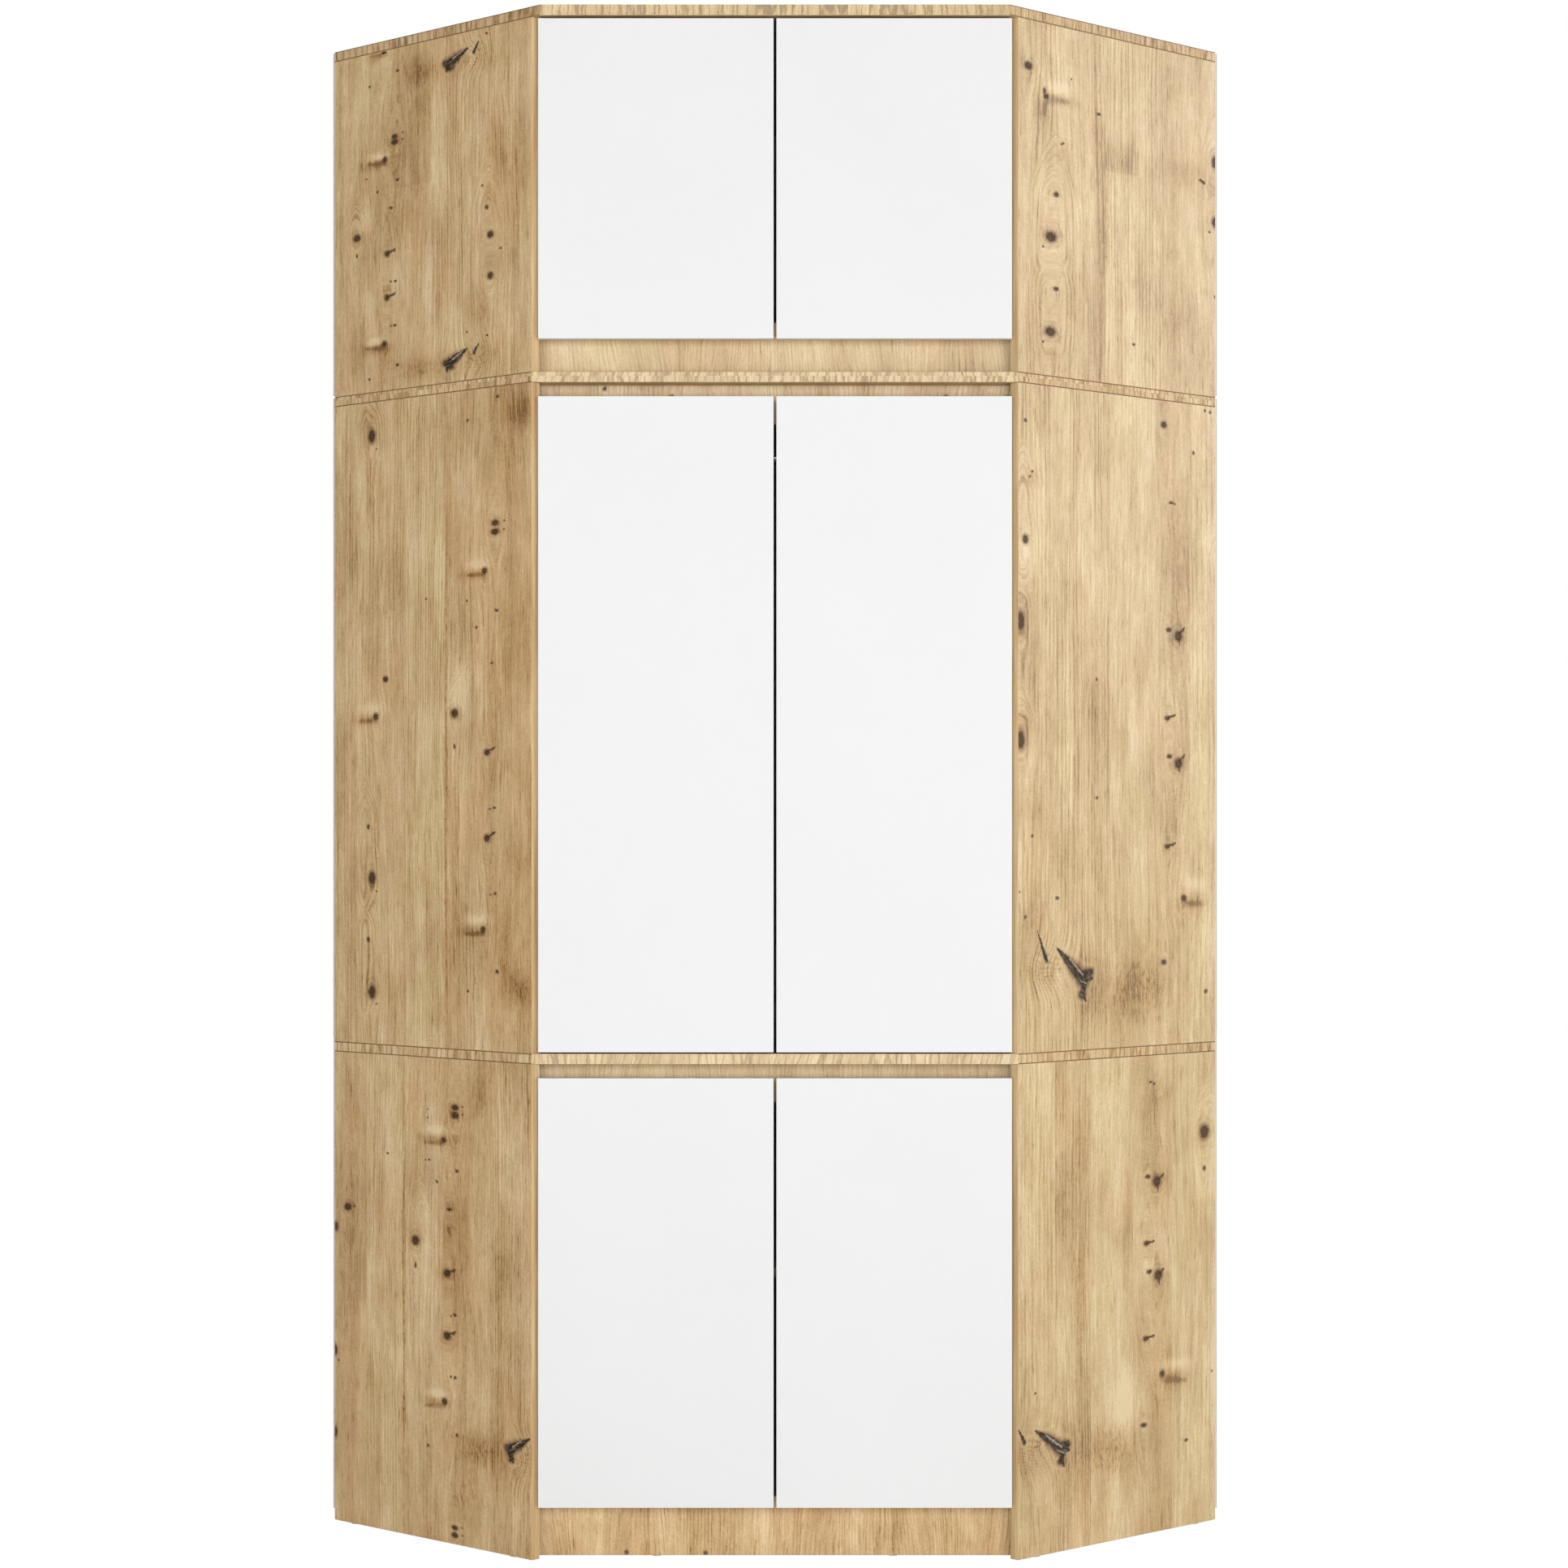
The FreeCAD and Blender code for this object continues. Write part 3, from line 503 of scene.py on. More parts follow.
    def warm(self, colour, lean=0.0):
        """Lets the wood drift slowly between a redder and a yellower brown."""
        f = self.finish
        open_point = f.place(self.across, self.along, self.layer)
        drift = f.noise(open_point, (13.0, 5.0, 1.0), (11.0, 2.0, 5.0), detail=2.0) + lean
        colour = f.tint(f.smooth(drift, 0.0, 0.20) * DRIFT_SHARE, colour, REDDER, "MULTIPLY")
        return f.tint(f.smooth(drift, -0.02, -0.20) * DRIFT_SHARE, colour, YELLOWER, "MULTIPLY")

    def close(self, colour, specular=PLAIN_SPECULAR):
        """Satin decor foil: the pores lie a little deeper and duller than the wood around them."""
        roughness = OAK_ROUGHNESS - self.relief * 0.08 + self.dull * 0.30
        normal = self.finish.bump(self.relief, RELIEF_STRENGTH, RELIEF_DEPTH)
        sheen = {"base_color": colour, "roughness": roughness, "normal": normal}
        return self.finish.surface(specular_ior_level=specular, **sheen)


def chipboard(oak, colour, raw):
    """Shows raw chipboard, flakes in glue, where raw is 1."""
    f = oak.finish
    shade = f.vector("DOT_PRODUCT", f.cells(oak.point, "F1", "Color", CHIPS_PER_METRE), GREY_WEIGHTS)
    return f.tint(raw, colour, f.tint(shade, CHIP_DARK, CHIP_PALE))


# The decor of the side panels, placed in columns and rows of the photograph.
#   staves: the column where one starts, the tone of its wood, the strength and the width of its rings
#   eyes: where rings close in arches over knots, by column, top row, bottom row and half width
#   knots: column, row, width and height
#   cracks, slivers, hooks, dashes: tapering lines, by their wide end, fine end and the width at each
#   blocks: rectangles of other wood, by two corners and what they add to the tone
#   pale, swirls: soft ovals, by column, row, half width and half height; brown has a strength as well
#   lobes, comets: the dark bodies of cracked knots, and the wood that parts round them
PANELS = {
    "upper_left": {
        "side": LEFT,
        "heights": UPPER_PANEL,
        "eyes": ((600, 258, 340, 25), (445, 284, 300, 15)),
        "staves": (
            (411, 0.60, 0.5, 5.0),
            (429, 0.60, 0.6, 6.5),
            (532, 0.66, 1.0, 4.6),
            (572, 0.61, 0.9, 5.2),
            (640, 0.60, 0.4, 4.0),
        ),
        "knots": (
            (486, 168.4, 7, 7), (486, 174.8, 8, 6), (496.3, 163.3, 2, 2.5),
            (496, 171, 2, 2.5), (489.6, 86.7, 4, 3.5), (455.5, 107.1, 2.5, 3.5), (599.4, 40.8, 2.5, 2.5),
            (472.9, 65.3, 6, 3), (451.8, 221, 2, 2), (489.6, 221.4, 4, 3.5), (465.3, 236.7, 2.5, 3.5),
            (482, 256.1, 4, 3), (439.8, 293.9, 8, 8), (439.8, 315.7, 2.5, 5), (594.3, 228.6, 3, 3),
            (599.8, 255.1, 4.5, 5), (604.1, 288.8, 7, 8.5), (604.1, 339.2, 7, 8.5), (616.7, 305.5, 3, 3),
            (476.9, 312.7, 6, 7), (485.1, 308.6, 3, 3), (481.4, 346.9, 2.5, 2.5), (487.1, 346.3, 3.5, 3),
            (476.9, 366.7, 6, 7), (485.1, 363.1, 3, 3), (481.4, 401.4, 2, 2.5), (486.5, 400.8, 4, 3),
            (489.6, 449.4, 4, 4), (455.1, 467.3, 2.5, 3.5), (600, 413, 3, 2.5),
            (574.9, 409, 3, 2), (473.9, 196.9, 6, 7), (473.5, 423.9, 6, 7),
        ),
        "cracks": (
            ((553.5, 78.5), (565.0, 69.0), 4.6, 3.2), ((565.0, 69.0), (576.0, 59.5), 3.2, 0.7),
            ((583.6, 64.0), (589.5, 51.5), 1.6, 0.7), ((551.5, 79.0), (551.0, 86.0), 4.0, 2.0),
            ((553.5, 447.5), (565.0, 438.5), 4.6, 3.2), ((565.0, 438.5), (575.8, 429.5), 3.2, 0.7),
            ((583.9, 434.0), (589.8, 423.5), 1.6, 0.7), ((551.8, 448.0), (551.2, 455.0), 4.0, 2.0),
        ),
        "slivers": (
            ((558.0, 72.0), (571.0, 61.8), 1.0, 0.5), ((557.5, 442.5), (570.5, 432.2), 1.0, 0.5),
            ((587.6, 61.5), (591.0, 54.0), 0.8, 0.5), ((588.0, 431.5), (591.3, 425.0), 0.8, 0.5),
        ),
        "hooks": (
            ((474.5, 200.5), (455, 202.5), 1.2, 0.7), ((474, 428), (452, 430), 1.2, 0.7),
            ((476, 66), (456, 70), 1.2, 0.7),
        ),
        "dashes": (((478.5, 311.5), (486.5, 307), 1.3, 1.0), ((478.5, 365.5), (486.5, 361.5), 1.3, 1.0)),
        "blocks": (
            ((482, 70), (531, 224), -0.09), ((531, 60), (541, 226), 0.10), ((476, 236), (545, 300), -0.07),
            ((418, 80), (424, 480), -0.10),
        ),
        "pale": ((467.8, 192.9, 12, 5), (464.7, 420.8, 13, 5)),
        "brown": (
            (461.6, 204, 16, 6, 0.9), (463.7, 431, 16, 6, 0.9), (514.7, 90, 20, 16, 1.0),
            (514.7, 455, 20, 16, 1.0), (463, 71, 14, 5, 0.7), (512, 350, 5, 60, 0.45),
            (596, 375, 6, 28, 0.5), (450, 266, 8, 24, -0.7), (520, 130, 12, 40, 0.4),
            (484, 262, 10, 40, 0.35), (600, 240, 9, 26, 0.35), (592, 75, 18, 18, 0.35),
            (592, 442, 20, 18, 0.4), (552, 82, 14, 13, 0.6), (552, 450, 14, 13, 0.6),
        ),
        "swirls": ((586, 70, 16, 18), (586, 441, 16, 16)),
        "lobes": ((549.5, 78.5, 8, 8), (555.0, 82.5, 7, 8), (549.8, 447.5, 8, 8), (555.3, 451.5, 7, 8)),
        "comets": ((558, 76, 20, 16), (558, 444, 20, 16)),
    },
    "middle_left": {
        "side": LEFT,
        "heights": MIDDLE_PANEL,
        "eyes": ((456, 528, 548, 20), (454, 1008, 1092, 19), (454, 1148, 1232, 19), (567, 866, 886, 14)),
        "staves": (
            (411, 0.62, 0.9, 5.6),
            (500, 0.70, 1.0, 4.4),
            (549, 0.60, 0.8, 5.2),
            (602, 0.55, 0.7, 4.6),
        ),
        "knots": (
            (612.7, 488.2, 4, 4), (576.3, 518.2, 3, 4), (458.2, 537.6, 8, 15), (463.7, 553, 2, 2),
            (610, 644, 8, 7), (610, 655, 9, 7), (621, 641, 2, 3), (621, 652, 2, 3), (525, 738, 2.5, 3),
            (575, 740, 2, 3), (587, 773, 2.5, 4), (612, 752, 4.5, 3.5), (606, 817, 4, 3),
            (475, 837, 6, 7), (560, 879, 8, 10), (560, 920, 2.5, 6), (600, 927, 7, 8), (608, 922, 3, 3),
            (609, 995.5, 4, 3), (603.5, 996.6, 2.5, 2.5), (600.1, 1032.9, 7, 9), (608.3, 1027, 3.5, 4),
            (454, 1018.8, 4, 6), (458.4, 1081.7, 8, 15), (464, 1098.4, 2, 2), (604.6, 1102, 2.5, 2.5),
            (610.1, 1101, 4, 3.5), (595.3, 1145.7, 6, 8), (454, 1157.6, 4, 6), (612.3, 1197.2, 4, 5),
            (576.4, 1221.2, 2.5, 4), (458.4, 1222.3, 8, 15), (464, 1237, 2, 2), (597, 703, 6, 8),
            (463, 883, 6, 8),
        ),
        "hooks": (
            ((597, 707), (577, 709), 1.2, 0.7), ((595, 1150.5), (574, 1151), 1.2, 0.7),
            ((463, 887.5), (443, 889), 1.2, 0.7),
        ),
        "dashes": (((601, 926), (609.5, 921), 1.3, 1.0), ((601.5, 1031), (610, 1025.5), 1.3, 1.0)),
        "pale": ((590, 695, 13, 6), (586.4, 1133.5, 12, 7), (457, 873, 12, 6)),
        "brown": (
            (584, 708, 16, 6, 0.8), (583.5, 1148, 16, 7, 0.8), (452, 888, 15, 6, 0.7),
            (641.2, 504.5, 17, 20, 1.1), (640.8, 1216.8, 17, 20, 1.1), (456, 585, 5, 45, 0.6),
            (456, 1270, 5, 30, 0.6), (456, 1120, 5, 22, 0.5), (604, 1070, 12, 60, 0.45),
            (622, 1180, 12, 50, 0.4), (620, 560, 16, 50, 0.4), (458, 1060, 14, 16, 0.3),
            (458, 1200, 14, 16, 0.3), (458, 515, 14, 18, 0.3), (610, 860, 12, 60, 0.35),
            (549, 1000, 2, 380, 1.1), (571, 838, 8, 32, -0.7), (450, 850, 8, 30, -0.5),
        ),
    },
    "lower_left": {
        "side": LEFT,
        "heights": LOWER_PANEL,
        "eyes": ((523, 1494, 1532, 16),),
        "staves": (
            (411, 0.58, 0.5, 5.0),
            (452, 0.68, 0.9, 4.8),
            (500, 0.61, 0.7, 6.0),
            (546, 0.60, 0.5, 5.0),
            (604, 0.60, 0.9, 4.4),
        ),
        "knots": (
            (560.5, 1364.8, 8, 7), (560.5, 1374, 8, 8), (569.4, 1363.6, 2, 2.5), (569.4, 1373.3, 2, 2.5),
            (526.9, 1366.6, 2, 2), (526.9, 1376.6, 2, 2), (546.5, 1404.7, 6, 7), (524.3, 1428.8, 2, 2.5),
            (528.7, 1428.8, 2, 2.5), (563.1, 1443.2, 4.5, 4), (538.3, 1456.1, 2.5, 3.5),
            (478, 1421, 3, 2.5), (428.8, 1486.8, 8, 8), (436.6, 1485.9, 3, 2.5), (553.9, 1490.3, 6, 4),
            (512.1, 1528.4, 8, 11), (414.5, 1510.6, 5, 12), (512.1, 1558.7, 2.5, 7),
            (550.9, 1568.7, 8, 9), (558.7, 1566.1, 4, 4), (555.7, 1621.6, 2.5, 2.5), (560.5, 1620.5, 4, 4),
            (550.9, 1645.7, 8, 9), (558.7, 1643.1, 4, 4), (413.5, 1663, 5, 14), (417, 1675.3, 2, 3),
            (555.7, 1696.4, 2.5, 3), (560.5, 1697.5, 4, 4), (547.6, 1727.1, 6, 9), (563.1, 1768.5, 4, 4),
            (527.6, 1781.1, 3, 4), (413.5, 1764, 5, 14), (560.5, 1882.4, 7, 6),
            (560.5, 1891.7, 7, 7), (569.4, 1883, 2, 2), (569.4, 1892, 2, 2),
        ),
        "cracks": (
            ((629.0, 1785.5), (641.0, 1780.0), 5.0, 3.4), ((641.0, 1780.0), (652.5, 1773.0), 3.4, 0.7),
            ((628.5, 1786.5), (630.0, 1797.5), 4.6, 2.8), ((630.0, 1797.5), (632.0, 1802.0), 2.8, 0.8),
        ),
        "slivers": (((632.0, 1783.0), (643.0, 1775.5), 1.1, 0.6),),
        "hooks": (((546, 1409), (524, 1407.5), 1.2, 0.7), ((547, 1732), (524, 1731.5), 1.2, 0.7)),
        "dashes": (((552, 1567.5), (561, 1564.5), 1.3, 1.0), ((552, 1644.5), (561, 1641.5), 1.3, 1.0)),
        "pale": ((537.2, 1392.5, 14, 6), (539.1, 1717.8, 12, 6)),
        "brown": (
            (533.5, 1403, 16, 6, 0.8), (533.5, 1726, 16, 6, 0.8), (591, 1787, 19, 20, 1.1),
            (590, 1340, 14, 40, 0.5), (575, 1660, 16, 120, 0.35), (620, 1640, 10, 90, 0.35),
            (428, 1560, 10, 110, 0.3), (497.6, 1740, 3, 22, 0.7), (575, 1830, 20, 50, 0.4),
            (630, 1792, 16, 18, 0.7), (512, 1515, 12, 14, 0.3), (498, 1600, 2, 300, 1.0),
            (522, 1496, 8, 30, -0.7), (530, 1380, 8, 40, -0.5),
        ),
        "swirls": ((646, 1796, 18, 24),),
        "lobes": ((626.0, 1784.5, 8, 8), (630.0, 1797.5, 7, 8)),
        "comets": ((634, 1787, 20, 20),),
    },
    "upper_right": {
        "side": RIGHT,
        "heights": UPPER_PANEL,
        "eyes": ((1299, 240, 300, 25), (1299, 358, 420, 25), (1498, 196, 206, 22), (1498, 268, 282, 20)),
        "staves": (
            (1254, 0.66, 0.4, 4.0),
            (1264, 0.62, 1.0, 5.6),
            (1362, 0.70, 1.0, 4.6),
            (1434, 0.63, 0.6, 6.4),
        ),
        "knots": (
            (1266.9, 80.6, 9, 9), (1287, 112, 4, 8), (1289, 119, 6, 6), (1320, 98, 2, 3),
            (1353.7, 140.8, 5, 4), (1308.4, 177.5, 2.5, 3), (1310.4, 176.5, 2.5, 3), (1301.2, 239.8, 6, 6),
            (1294.7, 291.8, 12, 12), (1285.3, 303.5, 3, 3), (1301.2, 355.9, 6, 5), (1294, 408.6, 12, 11),
            (1285.3, 420.8, 3, 3), (1397, 424.5, 4, 3), (1498, 200.5, 9, 15), (1498, 274.5, 9, 12),
            (1490, 286, 3, 3), (1479, 222.5, 4, 2.5), (1483, 225, 3, 4), (1497, 366, 2.5, 4),
        ),
        "hooks": (((1290, 121), (1317, 126), 2.4, 0.9),),
        "dashes": (((1479, 222), (1484, 226), 1.4, 1.2),),
        "blocks": (
            ((1362, 178), (1403, 218), -0.14), ((1358, 214), (1365, 338), -0.10),
            ((1432, 190), (1500, 290), -0.06), ((1354, 70), (1366, 130), -0.08),
        ),
        "pale": ((1306, 109, 14, 8),),
        "brown": (
            (1309, 124, 16, 6, 0.7), (1281, 139, 12, 20, 0.6), (1283, 130, 8, 12, 0.4),
            (1307, 192, 9, 12, 0.45), (1300, 226, 12, 12, 0.4), (1295, 277, 15, 15, 0.4),
            (1296, 392, 15, 14, 0.4), (1362.5, 276, 3, 62, 0.75), (1383, 198, 14, 18, 0.5),
            (1462, 212, 24, 12, 0.45), (1350, 150, 5, 24, 0.4), (1448, 300, 10, 120, 0.25),
            (1448, 400, 10, 30, 0.5), (1497, 140, 6, 12, 0.4), (1302, 450, 8, 30, 0.35),
            (1357, 350, 2, 130, 0.9),
        ),
    },
    "middle_right": {
        "side": RIGHT,
        "heights": MIDDLE_PANEL,
        "eyes": ((1263, 612, 690, 24), (1260, 748, 790, 20), (1260, 895, 935, 20), (1492, 695, 710, 16)),
        "staves": (
            (1254, 0.64, 1.0, 5.4),
            (1322, 0.64, 1.0, 4.4),
            (1368, 0.66, 0.7, 5.2),
            (1424, 0.60, 0.6, 5.8),
            (1466, 0.68, 0.8, 7.0),
        ),
        "knots": (
            (1263.5, 517.8, 4, 5), (1433.9, 523.5, 7, 8), (1484.5, 506, 2.5, 4), (1491, 508, 2.5, 4),
            (1470.6, 558, 3, 5), (1271.9, 581, 2.5, 3), (1268.9, 587, 2.5, 3), (1263.4, 664.2, 7, 11),
            (1443, 619.5, 5, 4), (1447, 621, 3, 3), (1257.5, 764.9, 9, 22), (1257.5, 911.5, 9, 22),
            (1440.2, 776, 6, 5), (1452, 783.4, 9, 12), (1457.6, 776.7, 3, 4), (1438.3, 885, 6, 6),
            (1445, 883, 3, 3), (1441, 932, 6, 5), (1452, 940.6, 9, 12), (1457.6, 933, 3, 4),
            (1271.9, 1030, 3, 4), (1438.3, 1042.9, 6, 6), (1445, 1041, 3, 3), (1458.7, 1106.5, 6, 8),
            (1302.6, 1106.5, 5, 4), (1263.4, 1129.8, 3, 5), (1256.3, 1099, 2, 3),
            (1433.9, 1185.3, 6, 6), (1485.7, 1221.2, 4, 5), (1351.4, 837, 3, 4),
            (1351.4, 983, 3, 4),
        ),
        "cracks": (
            ((1333.0, 1205.0), (1319.0, 1188.0), 6.4, 4.6), ((1319.0, 1188.0), (1302.5, 1168.5), 4.6, 0.7),
            ((1337.0, 1206.0), (1333.5, 1224.0), 4.6, 3.0), ((1333.5, 1224.0), (1338.0, 1233.0), 3.0, 0.7),
            ((1332.0, 1203.0), (1344.0, 1197.5), 5.4, 3.2), ((1336.0, 1206.0), (1345.5, 1205.0), 4.0, 1.4),
            ((1288.0, 1178.0), (1290.0, 1185.5), 1.9, 1.3), ((1287.5, 1178.0), (1278.5, 1147.5), 1.9, 0.5),
        ),
        "slivers": (
            ((1318.0, 1180.5), (1334.0, 1201.0), 0.9, 1.1), ((1331.0, 1208.0), (1338.0, 1212.0), 0.6, 0.7),
            ((1290.5, 1187.5), (1291.5, 1188.0), 1.6, 1.2),
        ),
        "hooks": (((1459, 1112.5), (1482, 1113.5), 1.4, 0.8),),
        "dashes": (
            ((1440, 884), (1448, 881), 1.3, 1.0), ((1440, 1042), (1448, 1039), 1.3, 1.0),
            ((1453, 781), (1459, 774), 1.4, 1.1), ((1453, 938.5), (1459, 931), 1.4, 1.1),
            ((1452.5, 788), (1453.5, 795), 1.8, 0.6), ((1452.5, 945), (1453.5, 952), 1.8, 0.6),
        ),
        "pale": ((1473.5, 1089, 12, 9),),
        "brown": (
            (1469, 1113, 16, 9, 0.9), (1452, 1130, 9, 24, 0.5), (1402, 1217, 32, 36, 1.4),
            (1350, 860, 5, 220, 0.45), (1450, 700, 9, 130, 0.35), (1270, 590, 9, 12, 0.5),
            (1398, 830, 8, 40, 0.4), (1290, 1200, 22, 34, 0.35), (1348, 1240, 16, 16, 0.5),
            (1341, 1208, 16, 30, 0.7), (1262, 750, 14, 24, 0.4), (1262, 895, 14, 22, 0.4),
            (1284, 1122, 12, 40, 0.55), (1445, 520, 16, 60, 0.3), (1492, 665, 8, 40, -0.6),
            (1378, 1250, 14, 36, 0.4),
        ),
        "swirls": ((1294, 1196, 26, 26),),
        "lobes": ((1343.0, 1198.5, 7, 9), (1333.5, 1225.0, 8, 10)),
        "comets": ((1332, 1200, 24, 34), (1285, 1168, 10, 24)),
    },
    "lower_right": {
        "side": RIGHT,
        "heights": LOWER_PANEL,
        "eyes": ((1484, 1384, 1405, 18),),
        "staves": (
            (1254, 0.66, 0.9, 5.0),
            (1300, 0.60, 1.0, 4.2),
            (1344, 0.66, 0.5, 5.4),
            (1396, 0.60, 0.5, 5.0),
            (1444, 0.68, 0.7, 7.0),
        ),
        "knots": (
            (1418, 1333, 4, 3), (1422, 1335, 3, 3.5), (1483.8, 1394.4, 10, 16), (1483.8, 1439.5, 3.5, 7),
            (1414.3, 1449.8, 6, 5), (1425.4, 1455.4, 9, 12), (1432, 1448.7, 3, 4), (1412.4, 1532, 6, 6),
            (1419.8, 1530, 3, 3), (1416, 1566.9, 6, 5), (1427, 1571, 9, 12), (1432, 1565, 3, 4),
            (1411.7, 1649.4, 6, 6), (1419.8, 1646.4, 3, 3), (1432, 1693, 6, 9), (1493, 1689, 2, 3),
            (1275.6, 1717, 3, 3), (1409.1, 1755.9, 7, 5),
            (1461.3, 1774.4, 4, 4),
        ),
        "cracks": (
            ((1306.0, 1784.5), (1292.0, 1773.5), 5.8, 4.2), ((1292.0, 1773.5), (1275.5, 1763.0), 4.2, 0.7),
            ((1310.0, 1786.0), (1308.0, 1799.0), 4.2, 3.0), ((1308.0, 1799.0), (1311.5, 1806.5), 3.0, 0.7),
            ((1305.0, 1783.0), (1316.0, 1779.0), 5.0, 3.0), ((1309.0, 1786.0), (1317.5, 1786.0), 3.6, 1.2),
            ((1262.3, 1777.5), (1255.5, 1763.0), 1.8, 0.8),
        ),
        "slivers": (
            ((1289.0, 1769.0), (1308.5, 1783.0), 0.9, 1.1), ((1303.0, 1787.5), (1311.0, 1790.0), 0.6, 0.7),
        ),
        "hooks": (((1433, 1699), (1460, 1700.5), 1.4, 0.8),),
        "dashes": (
            ((1414, 1531.5), (1422, 1529), 1.3, 1.0), ((1413.5, 1648.5), (1422, 1645.5), 1.3, 1.0),
            ((1427, 1453), (1433.5, 1446.5), 1.4, 1.1), ((1428, 1569.5), (1434, 1563), 1.4, 1.1),
            ((1426, 1460), (1427, 1467), 1.8, 0.6), ((1427.5, 1576), (1428.5, 1583), 1.8, 0.6),
        ),
        "pale": ((1448, 1680, 14, 7), (1385, 1720, 16, 40)),
        "brown": (
            (1449.4, 1699, 18, 9, 0.95), (1424, 1727, 8, 22, 0.5), (1368, 1788, 28, 30, 1.4),
            (1330, 1560, 8, 160, 0.5), (1266, 1790, 14, 34, 0.4), (1315, 1792, 16, 24, 0.7),
            (1424, 1600, 8, 150, 0.3), (1475, 1500, 8, 80, 0.3), (1425, 1350, 14, 30, 0.4),
            (1357, 1860, 12, 40, 0.4), (1400, 1680, 8, 60, 0.35),
        ),
        "swirls": ((1274, 1786, 24, 26),),
        "lobes": ((1315.0, 1780.0, 7, 9), (1308.0, 1800.0, 8, 9)),
        "comets": ((1306, 1784, 26, 30),),
    },
}

# Knots at least PARTING pixels wide part the grain, and from RINGED on they have rings round them.
PARTING = 6.0
RINGED = 8.0
# Half a knot's size as a share of its width in the tables, for ringed knots, spots and dots.
RINGED_SIZE = 0.54
SPOT_SIZE = 0.51
DOT_SIZE = 0.475
# How the grain parts: its reach in half widths of the knot, and how slim the parting is.
KNOT_PARTING = (1.9, 0.36)
CRACK_PARTING = (0.5, 0.45)
# A growth ring in metres, for a ring width of 1 in the tables.
RING_SWELL = {LEFT: 0.00150, RIGHT: 0.00185}
MEAN_TONE = 0.635
SIDE_TONE = 0.020
PANEL_LIFT = 0.010
STRIP_TONE = 0.70
STRIP_SIDE = 0.08
STAVE_CONTRAST = 1.4
STAVE_WARMTH = 1.8
# Half the width of a joint between staves, and how softly a block of other wood begins and ends.
JOINT_HALF = 0.0003
BLOCK_SIDE = 0.001
BLOCK_FOOT = 0.002
BLOCK_TOP = 0.03
# Eyes: the ring width, how wide an eye is reckoned to be, how round its middle and its top are, how
# far under the bottom row it fades, and how steeply its arches close over and under the knots.
EYE_RING = {LEFT: 0.0070, RIGHT: 0.0088}
EYE_REACH = 0.045
EYE_ROUND = 0.005
EYE_START = 0.020
EYE_FADE = 0.036
EYE_OVER = 0.44
EYE_UNDER = 0.40
# Swirls: grain that bends round a cracked knot, with short dark ribs across it.
SWIRL_RINGS = 3.4
SWIRL_SHIFT = 0.024
SWIRL_STRENGTH = 0.10
RIB_HEIGHT = 0.0068
RIB_BEND = 0.012
RIB_SHARE = 0.42
BROWN_SHARE = 0.27
BROWN_DASHES = 0.32
PALE_SHARE = 0.42
HOOK_SHARE = 0.34
LINE_SWELL = 0.75
CRACK_SWELL = 1.18


def stave_starts(panel):
    """The staves in order from the front edge back, each with where it starts along the face."""
    columns = [stave[0] for stave in panel["staves"]]
    if panel["side"] == LEFT:
        # On the left the photograph's columns run from the wall to the front.
        columns = columns[1:] + [LEFT_FRONT_COLUMN]
    starts = [on_side_panel(column, EYE_ROW)[0] for column in columns]
    return sorted(zip(starts, panel["staves"]), key=lambda pair: pair[0])


def eye_way(oak, rise, eyes):
    """How far out of the nearest eye, where EYE_REACH is its outline, and 1 inside the eyes.

    In an eye it is a rounded distance from the axis, plus a share of the height over the eye's top
    row, so that rings drawn along it close in pointed arches. Under the bottom row they fade out.
    """
    f = oak.finish
    ways = []
    masks = []
    for column, top, bottom, half in eyes:
        middle, high = on_side_panel(column, top)
        depth = f.most(on_side_panel(column, bottom)[1] - rise, 0.0)
        under = depth * EYE_UNDER
        aside = oak.across - middle
        over = f.most(rise - high, 0.0)
        over = f.maths("SQRT", over * over + EYE_START * EYE_START) - EYE_START
        way = f.maths("SQRT", aside * aside + under * under + EYE_ROUND * EYE_ROUND)
        way = (way + over * EYE_OVER) * (EYE_REACH / size_on_side_panel(column, half, half)[0])
        ways.append(way)
        masks.append(f.smooth(way, EYE_REACH, EYE_REACH * 0.6) * f.smooth(depth, EYE_FADE, 0.0))
    return f.least(*ways), functools.reduce(f.most, masks)


def placed(spot, swell=0.5):
    """An oval of the photograph on the side panel: across, along, half width, half height."""
    column, row, wide, high = spot
    return (*on_side_panel(column, row), *size_on_side_panel(column, wide * swell, high * swell))


def soft(spot, strength=1.0):
    """The same for a soft oval, which the tables give by its half sizes, with its strength."""
    return (*placed(spot, 1.0), strength)


def placed_line(line, swell=1.0):
    """A tapering line of the photograph on the side panel."""
    start, end, *ends = line
    thick, thin = (size_on_side_panel(start[0], wide, wide)[0] * LINE_SWELL * swell for wide in ends)
    return on_side_panel(*start), on_side_panel(*end), thick, thin


def block_of(f, across, along, corner, other):
    """1 inside a rectangle of the photograph, with crisp sides and softer ends."""
    (left, right), (bottom, top) = map(sorted, zip(on_side_panel(*corner), on_side_panel(*other)))
    sides = f.smooth(across, left - BLOCK_SIDE, left + BLOCK_SIDE)
    sides = sides * f.smooth(across, right + BLOCK_SIDE, right - BLOCK_SIDE)
    sides = sides * f.smooth(along, bottom - BLOCK_FOOT, bottom + BLOCK_FOOT)
    return sides * f.smooth(along, top + BLOCK_TOP, top - BLOCK_TOP)


